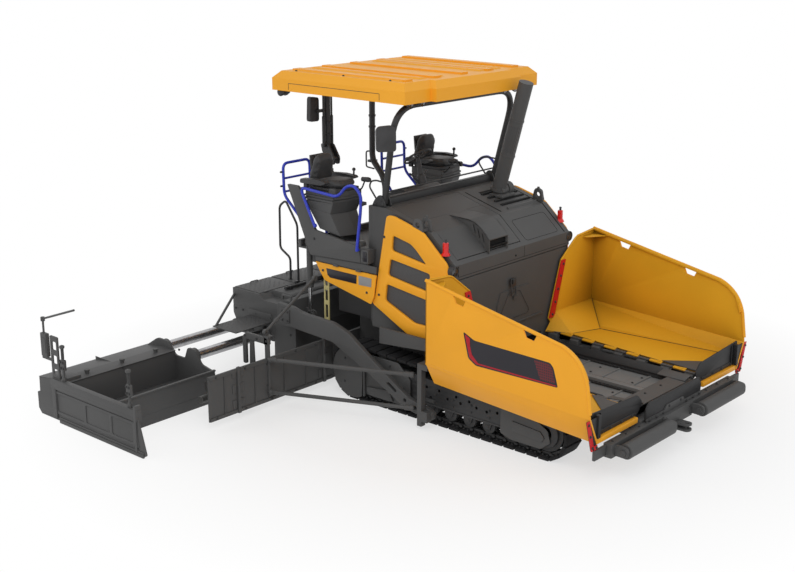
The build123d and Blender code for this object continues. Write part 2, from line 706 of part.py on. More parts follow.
# Auger front wall: hinged plates each side, the auger's outer arch bracket and braces to the tractor
for side_name, side in SIDES:
    with BuildPart() as tunnel_wall:
        block(-1160, -1140, side * 641, side * 3020, 100, 620)
        block(-1140, -1120, side * 641, side * 1100, 300, 620)
        for y in (1240, 2580):
            block(-1140, -1110, side * y, side * (y + 40), 100, 640)
        arch = [
            (-1170, 160),
            (-1110, 160),
            (-1110, 830),
            (-1140, 860),
            (-1480, 860),
            (-1540, 800),
            (-1540, 480),
            (-1480, 480),
            (-1480, 780),
            (-1170, 780),
        ]
        plate_xz(arch, side * 2130, side * 2160)
        block(-1200, -1110, side * 2080, side * 2160, 862, 880)
        block(-1180, -1120, side * 2110, side * 2160, 780, 866)
        hanger = [(-1430, 785), (-1370, 785), (-1360, 235), (-1440, 235)]
        plate_xz(hanger, side * (BEARING_Y + 10), side * (BEARING_Y + 30))
        bearing_start = (AUGER_X, side * (BEARING_Y + 5), AUGER_Z)
        bearing_end = (AUGER_X, side * (BEARING_Y + 35), AUGER_Z)
        prism(bearing_start, bearing_end, 44, 12, mode=Mode.SUBTRACT)
        for z in (606, 220):
            prism((-1150, side * 2157, z), (458, side * 1440, z), 22, 6)
    save(f"tunnel_wall_{side_name}", tunnel_wall.part)

with BuildPart() as tie_rods:
    for side in (1, -1):
        prism((-1310, side * 1212, 1330), (-1190, side * 2125, 912), 19, 8)
        block(-1340, -1280, side * 1191, side * 1225, 1300, 1362)
        block(-1215, -1160, side * 2095, side * 2145, 881, 930)
save("tie_rods", tie_rods.part)

with BuildPart() as auger_support:
    block(-1470, -1126, -60, 60, 190, 560)
    block(-1160, -1126, -640, 640, 480, 620)
save("auger_support", auger_support.part)

# Augers: a shaft and a screw of pressed half-turn blades a side
blade_lean = AUGER_PITCH / 4 / AUGER_RADIUS
blade_stretch = math.hypot(1, blade_lean)
blade_points = []
for step in range(4):
    turn = math.radians(-90 + step * 60)
    blade_points.append((AUGER_RADIUS * math.cos(turn), AUGER_RADIUS * math.sin(turn)))
for side_name, side in SIDES:
    with BuildPart() as auger:
        shaft_start = (AUGER_X, side * AUGER_INNER_Y, AUGER_Z)
        prism(shaft_start, (AUGER_X, side * AUGER_OUTER_Y, AUGER_Z), 42, 6)
        for number in range(15):
            y = AUGER_INNER_Y + 130 + number * AUGER_PITCH / 2
            if abs(y - BEARING_Y) < 110:
                continue
            half = 1 if number % 2 else -1
            lean = half * blade_lean
            blade_plane = Plane(origin=(AUGER_X, side * y, AUGER_Z), x_dir=(1, 0, 0), z_dir=(0, 1, lean))
            with BuildSketch(blade_plane) as blade:
                with BuildLine():
                    Polyline(*[(half * u, v * blade_stretch) for u, v in blade_points], close=True)
                make_face()
            extrude(blade.sketch, amount=FLIGHT_THICKNESS / 2, both=True)
    save(f"auger_{side_name}", auger.part)

# Tow arms, main screed and its extensions
with BuildPart() as tow_arms:
    arm = [
        (-1780, 985),
        (-1510, 970),
        (-1360, 930),
        (-850, 915),
        (-610, 840),
        (-300, 640),
        (310, 280),
        (600, 225),
        (665, 200),
        (665, 120),
        (600, 95),
        (240, 160),
        (-370, 470),
        (-610, 570),
        (-860, 680),
        (-1510, 715),
        (-1780, 715),
    ]
    for side in (1, -1):
        plate_xz(arm, side * ARM_INNER_Y, side * ARM_OUTER_Y)
        start = (TOW_PIN_X, side * (ARM_INNER_Y - 5), TOW_PIN_Z)
        end = (TOW_PIN_X, side * (ARM_OUTER_Y + 5), TOW_PIN_Z)
        bar(start, end, TOW_PIN_RADIUS + PIN_GAP, mode=Mode.SUBTRACT)
        block(-1780, -1640, side * SCREED_Y, side * (ARM_INNER_Y + 5), 715, 800)
save("tow_arms", tow_arms.part)

with BuildPart() as main_screed:
    front_box = [
        (SCREED_FRONT_X, 60),
        (SCREED_FRONT_X + 20, 0),
        (-1990, 0),
        (-1990, 740),
        (SCREED_REAR_X, 740),
        (SCREED_REAR_X, SCREED_TOP_Z),
        (-2240, SCREED_TOP_Z),
        (-2160, 900),
        (-1880, 900),
        (-1840, SCREED_TOP_Z),
        (SCREED_FRONT_X - 120, SCREED_TOP_Z),
        (SCREED_FRONT_X, 640),
    ]
    plate_xz(front_box, -SCREED_Y, SCREED_Y)
    block(-2230, -1850, -1060, 1060, 880, 985)
    eye_x, eye_z = LIFT_EYE
    for side in (1, -1):
        for ear_y in (1038, 1166):
            ear = [(-1640, 700), (-1600, 700), (eye_x + 40, 785), (eye_x + 40, 845), (-1640, 870)]
            plate_xz(ear, side * ear_y, side * (ear_y + 16))
        prism((eye_x, side * 1046, eye_z), (eye_x, side * 1174, eye_z), LIFT_PIN_RADIUS, 8)
        end_plate = [(-1990, 400), (-1980, 745), (SCREED_REAR_X, 745), (SCREED_REAR_X, 640), (-2600, 400)]
        plate_xz(end_plate, side * (SCREED_Y - 30), side * SCREED_Y)
        block(-2440, -2020, side * 1250, side * 1840, 640, 655)
        block(-2440, -2020, side * 1240, side * 1262, 640, 745)
        prism((SCREED_REAR_X + 22, side * 1238, 880), (-2412, side * 1815, 648), 16, 6)
        for x in GUIDE_ROWS:
            start = (x, side * (SCREED_Y - 50), GUIDE_Z)
            end = (x, side * (SCREED_Y + 5), GUIDE_Z)
            prism(start, end, GUIDE_RADIUS + 1, 8, mode=Mode.SUBTRACT)
        block(-1850, -1670, side * 1228, side * 1250, 950, 1045)
        block(-1820, -1700, side * 1220, side * 1260, 975, 1018, mode=Mode.SUBTRACT)
save("main_screed", main_screed.part)

# Dark access rails on top of the main screed
with BuildPart() as access_rails:
    for side in (1, -1):
        y = side * 530
        access = [
            (-2430, y, SCREED_TOP_Z),
            (-2430, y, 1250),
            (-2610, y, 1360),
            (-2600, y, 1930),
            (-2500, y, 1980),
            (-2290, y, 1700),
            (-2290, y, SCREED_TOP_Z),
        ]
        rail(access, 15)
save("access_rails", access_rails.part)

for side_name, side in SIDES:
    with BuildPart() as extension:
        section = [
            (EXTENSION_FRONT_X, 400),
            (EXTENSION_FRONT_X, 60),
            (EXTENSION_FRONT_X - 25, 0),
            (-2985, 0),
            (EXTENSION_REAR_X, 60),
            (EXTENSION_REAR_X, 250),
            (-2990, 250),
            (-2985, 435),
            (-2640, 480),
            (-2470, 470),
            (-2440, 340),
            (-2440, 130),
            (EXTENSION_FRONT_X - 25, 130),
            (EXTENSION_FRONT_X - 25, 400),
        ]
        plate_xz(section, side * EXTENSION_INNER_Y, side * EXTENSION_OUTER_Y)
        inner_plate = [
            (EXTENSION_FRONT_X, 60),
            (-2990, 60),
            (-2990, 435),
            (-2750, 560),
            (-2000, 560),
            (EXTENSION_FRONT_X, 400),
        ]
        plate_xz(inner_plate, side * EXTENSION_INNER_Y, side * (EXTENSION_INNER_Y + 25))
        for rib_y in (2900, 3400):
            rib = [(EXTENSION_FRONT_X - 10, 380), (-2445, 330), (-2445, 100), (EXTENSION_FRONT_X - 10, 100)]
            plate_xz(rib, side * rib_y, side * (rib_y + 15))
        block(-2680, -2500, side * 3700, side * 3880, 470, 520)
        for x in GUIDE_ROWS:
            prism((x, side * 1080, GUIDE_Z), (x, side * (EXTENSION_INNER_Y + 20), GUIDE_Z), GUIDE_RADIUS, 8)
    save(f"extension_{side_name}", extension.part)
    with BuildPart() as end_gate:
        gate = [(-2700, 400), (-2700, 60), (-2500, 0), (-1120, 0), (-1040, 40), (-1150, 400), (-1190, 470), (-2700, 470)]
        plate_xz(gate, side * (GATE_Y - 20), side * GATE_Y)
        block(-2680, -1190, side * EXTENSION_OUTER_Y, side * (GATE_Y - 20), 400, 490)
        for x in (-2470, -1300):
            prism((x, side * (GATE_Y - 22), 480), (x, side * (GATE_Y - 22), 930), 20, 6)
            block(x - 35, x + 35, side * (GATE_Y - 42), side * (GATE_Y - 5), 640, 760)
        block(-2680, -2540, side * (GATE_Y - 32), side * (GATE_Y - 12), 480, 1000)
        block(-2850, -2680, side * (GATE_Y - 32), side * (GATE_Y - 12), 700, 730)
        block(-2850, -2740, side * (GATE_Y - 52), side * GATE_Y, 730, 1000)
        prism((-2800, side * (GATE_Y - 22), 990), (-2800, side * (GATE_Y - 22), 1200), 12, 6)
        prism((-2800, side * (GATE_Y - 22), 1160), (-2190, side * (GATE_Y - 22), 1380), 12, 6)
    save(f"end_gate_{side_name}", end_gate.part)

# Screed lift cylinders
lift_length = math.dist(LIFT_TOP, LIFT_EYE)
along = ((LIFT_EYE[0] - LIFT_TOP[0]) / lift_length, (LIFT_EYE[1] - LIFT_TOP[1]) / lift_length)


def on_lift(distance, y):
    return (LIFT_TOP[0] + along[0] * distance, y, LIFT_TOP[1] + along[1] * distance)


for side_name, side in SIDES:
    y = side * LIFT_Y
    with BuildPart() as lift_barrel:
        prism(on_lift(0, y), on_lift(550, y), 44, 8)
        prism(on_lift(0, y - 22), on_lift(0, y + 22), 52, 10)
        prism(on_lift(70, y), on_lift(600, y), 23, 8, mode=Mode.SUBTRACT)
        bar(on_lift(0, y - 60), on_lift(0, y + 60), LIFT_PIN_RADIUS + PIN_GAP, mode=Mode.SUBTRACT)
    save(f"lift_barrel_{side_name}", lift_barrel.part)
    with BuildPart() as lift_rod:
        prism(on_lift(380, y), on_lift(lift_length - 42, y), 22, 8)
        prism(on_lift(lift_length, y - 18), on_lift(lift_length, y + 18), 58, 10)
        prism(on_lift(lift_length, y - 40), on_lift(lift_length, y + 40), 38, 8, mode=Mode.SUBTRACT)
    save(f"lift_rod_{side_name}", lift_rod.part)

# Work lamps, beacons and mirrors
with BuildPart() as lamps:
    for side in (1, -1):
        prism((WALL_X - 49, side * 1142, 1720), (WALL_X + 10, side * 1142, 1720), 57, 8)
        for x_from, x_to in ((-1905, -1830), (-60, 15)):
            block(x_from, x_to, side * 1040, side * 1145, 3400, 3500)
            block(x_from + 25, x_to - 25, side * 1080, side * 1110, 3500, ROOF_EDGE_Z + 8)
save("lamps", lamps.part)

with BuildPart() as beacons:
    for side in (1, -1):
        prism((570, side * 1130, 1900), (570, side * 1130, 1990), 32, 6)
        block(545, 595, side * 1151, side * 1161, 1840, 1905)
        block(545, 595, side * 1100, side * 1161, 1893, 1905)
save("beacons", beacons.part)

with BuildPart() as mirrors:
    for side in (1, -1):
        block(-320, -290, side * 1115, side * 1290, 2900, 3240)
        prism((-300, side * 1130, 3200), (-165, side * 1122, 3200), 10, 6)
        block(-180, -140, side * 1106, side * 1132, 3180, 3215)
save("mirrors", mirrors.part)
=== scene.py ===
import json
import math
from contextlib import contextmanager
from itertools import product

import bmesh
import bpy
from mathutils import Matrix, Vector


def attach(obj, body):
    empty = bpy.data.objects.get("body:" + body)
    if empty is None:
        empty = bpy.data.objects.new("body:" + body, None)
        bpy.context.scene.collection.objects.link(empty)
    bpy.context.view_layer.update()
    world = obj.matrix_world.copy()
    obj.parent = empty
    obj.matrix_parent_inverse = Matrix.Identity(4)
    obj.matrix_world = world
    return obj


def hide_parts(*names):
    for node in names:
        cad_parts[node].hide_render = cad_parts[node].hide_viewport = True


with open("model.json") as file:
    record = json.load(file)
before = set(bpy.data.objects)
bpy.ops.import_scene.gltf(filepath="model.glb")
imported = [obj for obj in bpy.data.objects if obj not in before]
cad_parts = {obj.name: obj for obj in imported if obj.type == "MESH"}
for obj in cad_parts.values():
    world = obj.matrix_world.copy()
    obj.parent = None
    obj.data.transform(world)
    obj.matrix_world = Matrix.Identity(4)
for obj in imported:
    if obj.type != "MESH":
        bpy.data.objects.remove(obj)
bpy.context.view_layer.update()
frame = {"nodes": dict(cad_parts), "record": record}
sides = (("left", 1), ("right", -1))
print("frame loaded:", len(frame["nodes"]), "nodes")

# View
viewSettings = {
    "lens": 57.396,
    "place": (8.906, -11.316, 5.325),
    "azimuth": 41.43,
    "elevation": 15.93,
    "floorColour": (0.93, 0.93, 0.93),
    "worldStrength": 0.6,
    "keyEnergy": 430.0,
    "fillEnergy": 170.0,
}


def newObject(name, data):
    thing = bpy.data.objects.new(name, data)
    bpy.context.scene.collection.objects.link(thing)
    return thing


def makeCamera():
    cameraData = bpy.data.cameras.new("camera")
    cameraData.lens = viewSettings["lens"]
    cameraData.sensor_width = 36.0
    camera = newObject("camera", cameraData)
    turn, rise = math.radians(viewSettings["azimuth"]), math.radians(viewSettings["elevation"])
    back = Vector((math.sin(turn) * math.cos(rise), -math.cos(turn) * math.cos(rise), math.sin(rise)))
    camera.rotation_euler = (-back).to_track_quat("-Z", "Y").to_euler()
    camera.location = viewSettings["place"]
    bpy.context.scene.camera = camera


makeCamera()


# Node tools: an input takes a value, a socket, or a node's first socket in use
def feed(tree, node, inputs):
    for key, value in inputs.items():
        if isinstance(value, bpy.types.Node):
            value = next(socket for socket in value.outputs if socket.enabled)
        if isinstance(value, bpy.types.NodeSocket):
            tree.links.new(value, node.inputs[key])
        else:
            node.inputs[key].default_value = value
    return node


def addNode(tree, kind, inputs, **settings):
    node = tree.nodes.new(kind)
    for key, value in settings.items():
        setattr(node, key, value)
    return feed(tree, node, inputs)


def addMath(tree, operation, *values):
    return addNode(tree, "ShaderNodeMath", dict(enumerate(values)), operation=operation)


def newMaterial(name):
    material = bpy.data.materials.new(name)
    material.use_nodes = True
    tree = material.node_tree
    return material, tree, addNode(tree, "ShaderNodeTexCoord", {}).outputs["Object"]


def addNoise(tree, place, scale, detail=4.0, rough=0.55):
    inputs = {"Vector": place, "Scale": scale, "Detail": detail, "Roughness": rough}
    return addNode(tree, "ShaderNodeTexNoise", inputs)


def addRamp(tree, source, low, high, colourLow, colourHigh):
    ramp = addNode(tree, "ShaderNodeValToRGB", {"Fac": source})
    for element, position, colour in zip(ramp.color_ramp.elements, (low, high), (colourLow, colourHigh)):
        element.position = position
        element.color = (*colour, 1.0)
    return ramp


def shade(colour, factor):
    return tuple(min(1.0, part * factor) for part in colour)


# Every look ends here: tone, roughness between two levels, and relief
def finishLook(material, tone, rough, relief, more):
    tree = material.node_tree
    source, low, high = rough
    levels = {"Value": source, "To Min": max(0.02, low), "To Max": min(1.0, high)}
    height, strength, distance = relief
    bump = {"Height": height, "Strength": strength, "Distance": distance}
    inputs = {"Base Color": tone, "Roughness": addNode(tree, "ShaderNodeMapRange", levels), **more}
    if strength:
        inputs["Normal"] = addNode(tree, "ShaderNodeBump", bump)
    feed(tree, tree.nodes["Principled BSDF"], inputs)
    return material


# Paint and plastic: broad tone drift, a little dust in patches, fine grain in gloss and relief
def coatedMaterial(name, colour, roughness, coat=0.0, drift=0.08, grain=160.0, bump=0.03, dust=0.1, shine=0.3):
    material, tree, place = newMaterial(name)
    fine = addNoise(tree, place, grain, 2.0)
    tone = addRamp(tree, addNoise(tree, place, 1.3, 3.0), 0.3, 0.7, shade(colour, 1.0 - drift),
        shade(colour, 1.0 + drift))
    cover = addRamp(tree, addNoise(tree, place, 9.0, 6.0, 0.65), 0.55, 0.8, (0.0, 0.0, 0.0), (dust, dust, dust))
    pale = (*[part * 0.7 + 0.05 for part in colour], 1.0)
    dusty = addNode(tree, "ShaderNodeMix", {"Factor": cover, "A": tone, "B": pale}, data_type="RGBA")
    more = {"Coat Weight": coat, "Coat Roughness": 0.12, "Specular IOR Level": shine}
    return finishLook(material, dusty, (fine, roughness - 0.06, roughness + 0.06), (fine, bump, 0.002), more)


# Bare worked steel: streaks along one axis over a mottled ground
def steelMaterial(name, colour, roughness, stretch=(1.0, 40.0, 40.0), metallic=0.9):
    material, tree, place = newMaterial(name)
    streaks = addNoise(tree, addNode(tree, "ShaderNodeMapping", {"Vector": place, "Scale": stretch}), 4.0, 5.0, 0.5)
    tone = addRamp(tree, addNoise(tree, place, 6.0, 6.0, 0.7), 0.35, 0.7, shade(colour, 0.7), shade(colour, 1.1))
    rough = (streaks, roughness - 0.1, roughness + 0.14)
    return finishLook(material, tone, rough, (streaks, 0.08, 0.001), {"Metallic": metallic})


# Rubber and vinyl: matt, with a pebbled or mottled relief
def softMaterial(name, colour, roughness, grain, bump, sheen=0.0):
    material, tree, place = newMaterial(name)
    cells = addNode(tree, "ShaderNodeTexVoronoi", {"Vector": place, "Scale": grain})
    broad = addNoise(tree, place, 5.0, 5.0, 0.6)
    tone = addRamp(tree, broad, 0.3, 0.75, shade(colour, 0.8), shade(colour, 1.35))
    more = {"Sheen Weight": sheen, "Specular IOR Level": 0.3}
    return finishLook(material, tone, (broad, roughness - 0.08, roughness + 0.1), (cells, bump, 0.0015), more)


# Punched screen: round holes in rows on a painted ground; the holes are coloured dark as painted shade of the space
# behind them
def screenMaterial(name, colour, holeShadeColour, pitch):
    material, tree, place = newMaterial(name)
    apart = addNode(tree, "ShaderNodeSeparateXYZ", {"Vector": place})
    waves = [addMath(tree, "SINE", addMath(tree, "MULTIPLY", apart.outputs[axis], math.pi / pitch)) for axis in "XZ"]
    size = addMath(tree, "ABSOLUTE", addMath(tree, "MULTIPLY", *waves))
    tone = addRamp(tree, size, 0.42, 0.55, colour, holeShadeColour)
    return finishLook(material, tone, (addNoise(tree, place, 60.0, 3.0), 0.45, 0.65), (size, -0.5, 0.004), {})


def glassMaterial(name, colour, roughness=0.08, coat=1.0):
    material, tree, place = newMaterial(name)
    swirl = addNoise(tree, place, 30.0, 2.0)
    tone = addRamp(tree, swirl, 0.2, 0.8, shade(colour, 0.85), shade(colour, 1.1))
    more = {"Coat Weight": coat, "Coat Roughness": 0.04}
    return finishLook(material, tone, (swirl, roughness - 0.03, roughness + 0.05), (swirl, 0.0, 0.0), more)


# The hopper's inside: the same paint with painted shade, darker where faces close in on each other
def shadedInnerPaint(reach, floor):
    material = coatedMaterial("innerYellowShaded", (0.86, 0.43, 0.022), 0.46, 0.0, 0.04, dust=0.03, shine=0.2)
    tree = material.node_tree
    shader = tree.nodes["Principled BSDF"]
    # Painted shade: the occlusion value darkens the paint colour in corners and where faces close in
    closed = addNode(tree, "ShaderNodeAmbientOcclusion", {"Distance": reach}, samples=6).outputs["AO"]
    share = addNode(tree, "ShaderNodeMapRange", {"Value": closed, "From Min": 0.15, "From Max": 0.8, "To Min": floor})
    inputs = {"Factor": 1.0, "A": shader.inputs["Base Color"].links[0].from_socket, "B": share}
    feed(tree, shader, {"Base Color": addNode(tree, "ShaderNodeMix", inputs, data_type="RGBA", blend_type="MULTIPLY")})
    return material


materials = {
    "dark_paint": coatedMaterial("darkPaint", (0.08, 0.08, 0.08), 0.55),
    "black_paint": coatedMaterial("blackPaint", (0.03, 0.03, 0.031), 0.48, shine=0.4),
    "yellow_paint": coatedMaterial("yellowPaint", (0.95, 0.425, 0.028), 0.42, 0.0, 0.03, dust=0.03, shine=0.22),
    # inner_yellow: the yellow paint with painted corner shade
    "inner_yellow": shadedInnerPaint(0.75, 0.28),
    "blue_paint": coatedMaterial("bluePaint", (0.03, 0.052, 0.52), 0.36, 0.1, 0.04, dust=0.02),
    "engine_paint": coatedMaterial("enginePaint", (0.07, 0.075, 0.08), 0.5),
    "bare_steel": steelMaterial("bareSteel", (0.085, 0.083, 0.08), 0.46, metallic=0.3),
    "cast_steel": coatedMaterial("castSteel", (0.046, 0.046, 0.047), 0.6, grain=70.0, bump=0.12, dust=0.2),
    "chrome_rod": steelMaterial("chromeRod", (0.46, 0.46, 0.47), 0.2, (40.0, 1.0, 40.0)),
    "track_rubber": softMaterial("trackRubber", (0.011, 0.011, 0.012), 0.8, 240.0, 0.12),
    "black_rubber": softMaterial("blackRubber", (0.02, 0.02, 0.021), 0.5, 320.0, 0.06),
    "red_rubber": coatedMaterial("redRubber", (0.62, 0.01, 0.014), 0.45, 0.0, 0.05),
    "black_vinyl": softMaterial("blackVinyl", (0.044, 0.044, 0.045), 0.52, 420.0, 0.18, 0.08),
    "black_plastic": softMaterial("blackPlastic", (0.046, 0.046, 0.048), 0.5, 700.0, 0.06),
    "pale_paint": coatedMaterial("palePaint", (0.5, 0.44, 0.2), 0.5),
    "red_lens": glassMaterial("redLens", (0.8, 0.008, 0.008), 0.22, 0.15),
    # Screens: the dark hole colours are painted shade seen through the holes
    "screen": screenMaterial("punchedScreen", (0.075, 0.075, 0.077), (0.028, 0.028, 0.029), 0.012),
    "red_screen": screenMaterial("redScreen", (0.13, 0.004, 0.01), (0.012, 0.006, 0.01), 0.026),
    # The mirror's pale blue-grey colour is painted reflection; the coat gives its gloss
    "mirror": glassMaterial("mirrorGlass", (0.34, 0.37, 0.4), 0.05),
    "lamp_glass": glassMaterial("lampGlass", (0.11, 0.11, 0.115), 0.14, 0.4),
    "display": glassMaterial("displayGlass", (0.018, 0.022, 0.028), 0.1),
    "dark_panel": coatedMaterial("darkPanel", (0.014, 0.012, 0.018), 0.34, 0.15, dust=0.02),
    "deep_red": coatedMaterial("deepRed", (0.42, 0.003, 0.014), 0.36, 0.1, 0.05, dust=0.02),
    "plate_grey": coatedMaterial("plateGrey", (0.3, 0.3, 0.3), 0.45),
    # Paler grey than the steel is: painted light on the shaded conveyor lane; the dust patches are real
    "steel_with_painted_light": coatedMaterial("wornSteel", (0.17, 0.17, 0.168), 0.5, grain=60.0, bump=0.06, dust=0.15),
    # void_black: near-black sheets set behind openings as painted shade of the spaces behind them; the hood seams use
    # it as dark joints
    "void_black": coatedMaterial("voidBlack", (0.012, 0.012, 0.012), 0.7, shine=0.1),
}


def clothe(thing, looks):
    if len(thing.data.materials):
        thing.data.materials.clear()
    for look in looks.split():
        thing.data.materials.append(materials[look])


for part in frame["record"]["subparts"]:
    clothe(frame["nodes"][part["node"]], part["material_slot"])
print("materials made:", len(materials))

# Mesh tools: a piece is drawn in metres where it stands; a pair is drawn on the left and mirrored
drawn = {"mesh": bmesh.new()}
finish = {"weld": 0.00002, "crease": math.radians(32)}


def takeMesh():
    mesh, drawn["mesh"] = drawn["mesh"], bmesh.new()
    return mesh


def note(facesBefore, look):
    drawn["mesh"].faces.ensure_lookup_table()
    for face in drawn["mesh"].faces[facesBefore:]:
        face.material_index = look


# A solid between two rings of corners
def addRings(low, high, bevel=0.0, look=0):
    mesh = drawn["mesh"]
    before, count = len(mesh.faces), len(low)
    verts = [mesh.verts.new(corner) for corner in (*low, *high)]
    made = [mesh.faces.new(verts[:count]), mesh.faces.new(verts[:count - 1:-1])]
    for index in range(count):
        after = (index + 1) % count
        made.append(mesh.faces.new([verts[k] for k in (index, index + count, after + count, after)]))
    if bevel > 0:
        edges = list({edge for face in made for edge in face.edges})
        bmesh.ops.bevel(mesh, geom=edges, offset=bevel, segments=2, profile=0.6, affect="EDGES", clamp_overlap=True)
    note(before, look)


def addPlate(outline, axis, low, high, bevel=0.003, look=0):
    at = {"x": lambda a, b, level: (level, a, b), "y": lambda a, b, level: (a, level, b), "z": lambda a, b,
        level: (a, b, level)}[axis]
    addRings(*[[at(a, b, level) for a, b in outline] for level in sorted((low, high))], bevel, look)


def box(low, high, near, far):
    return [(low, near), (high, near), (high, far), (low, far)]


def addBox(x, y, z, bevel=0.004, look=0):
    addPlate(box(*x, *y), "z", *z, bevel, look)


def frameAlong(direction):
    direction = Vector(direction).normalized()
    other = Vector((0, 0, 1)) if abs(direction.z) < 0.9 else Vector((1, 0, 0))
    first = direction.cross(other).normalized()
    return first, direction.cross(first).normalized()


def around(middle, first, second, radius, count):
    turns = [2 * math.pi * number / count for number in range(count)]
    return [middle + (first * math.cos(turn) + second * math.sin(turn)) * radius for turn in turns]


def circle(x, z, radius, count=24):
    return [tuple(point) for point in around(Vector((x, z)), Vector((1, 0)), Vector((0, 1)), radius, count)]


# A skin over rings of points: closed by caps, or joined end to end
def addSkin(rings, look=0, joined=False):
    mesh = drawn["mesh"]
    before = len(mesh.faces)
    loops = [[mesh.verts.new(point) for point in ring] for ring in rings]
    for low, high in zip(loops, loops[1:] + (loops[:1] if joined else [])):
        for number in range(len(low)):
            mesh.faces.new((low[number - 1], low[number], high[number], high[number - 1]))
    if not joined:
        mesh.faces.new(loops[0])
        mesh.faces.new(loops[-1])
    note(before, look)


# A turned solid: rings of given radius at given distances along an axis
def addTurned(start, direction, profile, sides=24, look=0, hollow=False):
    first, second = frameAlong(direction)
    along = Vector(direction).normalized()
    addSkin([around(Vector(start) + along * distance, first, second, radius, sides) for distance, radius in profile],
        look, hollow)


def addRod(start, end, radius, sides=20, edge=0.003, look=0):
    run = Vector(end) - Vector(start)
    edge = min(edge, run.length * 0.2, radius * 0.5)
    addTurned(start, run, [(0, radius - edge), (edge, radius), (run.length - edge, radius),
        (run.length, radius - edge)], sides, look)


# A collar: a ring with eased edges, open through its middle
def addCollar(start, direction, bore, radius, long, sides=32, ease=0.003):
    outside = [(0, radius - ease), (ease, radius), (long - ease, radius), (long, radius - ease)]
    addTurned(start, direction, [(0, bore)] + outside + [(long, bore)], sides, 0, True)


# Corners of a path eased by short curves
def eased(points, bend, steps=5, closed=False):
    points = [Vector(point) for point in points]
    path = []
    for index, point in enumerate(points):
        if not closed and index in (0, len(points) - 1):
            path.append(point)
            continue
        before, after = points[index - 1] - point, points[(index + 1) % len(points)] - point
        reach = min(bend, before.length * 0.45, after.length * 0.45)
        enter, leave = point + before.normalized() * reach, point + after.normalized() * reach
        for share in [step / steps for step in range(steps + 1)]:
            path.append(enter * (1 - share) ** 2 + point * 2 * share * (1 - share) + leave * share**2)
    return path


def rounded(outline, radius, steps=4):
    return [tuple(point) for point in eased(outline, radius, steps, True)]


def addTube(points, radius, bend=0.06, sides=12, closed=False, look=0, steps=5):
    path = eased(points, bend, steps, closed)
    count = len(path)
    rings = []
    for index, point in enumerate(path):
        if closed:
            ahead = path[(index + 1) % count] - path[index - 1]
        else:
            ahead = path[min(index + 1, count - 1)] - path[max(index - 1, 0)]
        ahead.normalize()
        if rings:
            first = (heading.rotation_difference(ahead) @ first).normalized()
            second = ahead.cross(first).normalized()
        else:
            first, second = frameAlong(ahead)
        heading = ahead
        rings.append(around(point, first, second, radius, sides))
    addSkin(rings, look, closed)


def evaluated(thing):
    return bpy.data.meshes.new_from_object(thing.evaluated_get(bpy.context.evaluated_depsgraph_get()))


# A bevelled plate with holes, drawn as a filled curve and turned to a mesh
def addPierced(outlines, axis, low, high, bevel=0.006, look=0):
    curve = bpy.data.curves.new("outline", "CURVE")
    curve.dimensions = "2D"
    curve.fill_mode = "BOTH"
    curve.extrude = abs(high - low) / 2 - bevel
    curve.bevel_depth = bevel
    curve.bevel_resolution = 2
    curve.offset = -bevel
    for outline in outlines:
        spline = curve.splines.new("POLY")
        spline.points.add(len(outline) - 1)
        for point, (a, b) in zip(spline.points, outline):
            point.co = (a, b, 0, 1)
        spline.use_cyclic_u = True
    holder = newObject("outline", curve)
    holder.update_tag()
    flat = evaluated(holder)
    middle = (low + high) / 2
    rows = {"x": ((0, 0, 1, middle), (1, 0, 0, 0), (0, 1, 0, 0)), "y": ((1, 0, 0, 0), (0, 0, 1, middle), (0, 1, 0, 0)),
        "z": ((1, 0, 0, 0), (0, 1, 0, 0), (0, 0, 1, middle))}
    flat.transform(Matrix((*rows[axis], (0, 0, 0, 1))))
    before = len(drawn["mesh"].faces)
    drawn["mesh"].from_mesh(flat)
    note(before, look)
    bpy.data.objects.remove(holder)
    bpy.data.curves.remove(curve)
    bpy.data.meshes.remove(flat)


# What is drawn inside is set down twice, on the left and mirrored on the right
@contextmanager
def bothSides():
    outer = takeMesh()
    yield
    half = takeMesh()
    flat = bpy.data.meshes.new("half")
    half.to_mesh(flat)
    half.free()
    for side in (1, -1):
        flat.transform(Matrix.Diagonal((1, side, 1, 1)))
        outer.from_mesh(flat)
    bpy.data.meshes.remove(flat)
    drawn["mesh"] = outer


def finishMesh(name, mesh, smooth=True):
    bmesh.ops.recalc_face_normals(mesh, faces=mesh.faces[:])
    data = bpy.data.meshes.new(name)
    mesh.to_mesh(data)
    if smooth:
        data.shade_smooth()
        data.set_sharp_from_angle(angle=finish["crease"])
    return newObject(name, data)


# A star in the names stands for left and right: the piece is made for both
def makePiece(name, body, looks, replaced="", smooth=True):
    mesh = takeMesh()
    bmesh.ops.remove_doubles(mesh, verts=mesh.verts[:], dist=finish["weld"])
    pieces = []
    for sideName, side in sides if "*" in name else (("", 1),):
        bmesh.ops.scale(mesh, vec=(1, side, 1), verts=mesh.verts[:])
        piece = finishMesh(name.replace("*", sideName), mesh, smooth)
        clothe(piece, looks)
        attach(piece, body.replace("*", sideName))
        nodes = [node.replace("*", sideName) for node in replaced.split() if side > 0 or "*" in node]
        if nodes:
            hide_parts(*nodes)
        pieces.append(piece)
    mesh.free()
    return pieces


def makeItem(name):
    return finishMesh(name, takeMesh())


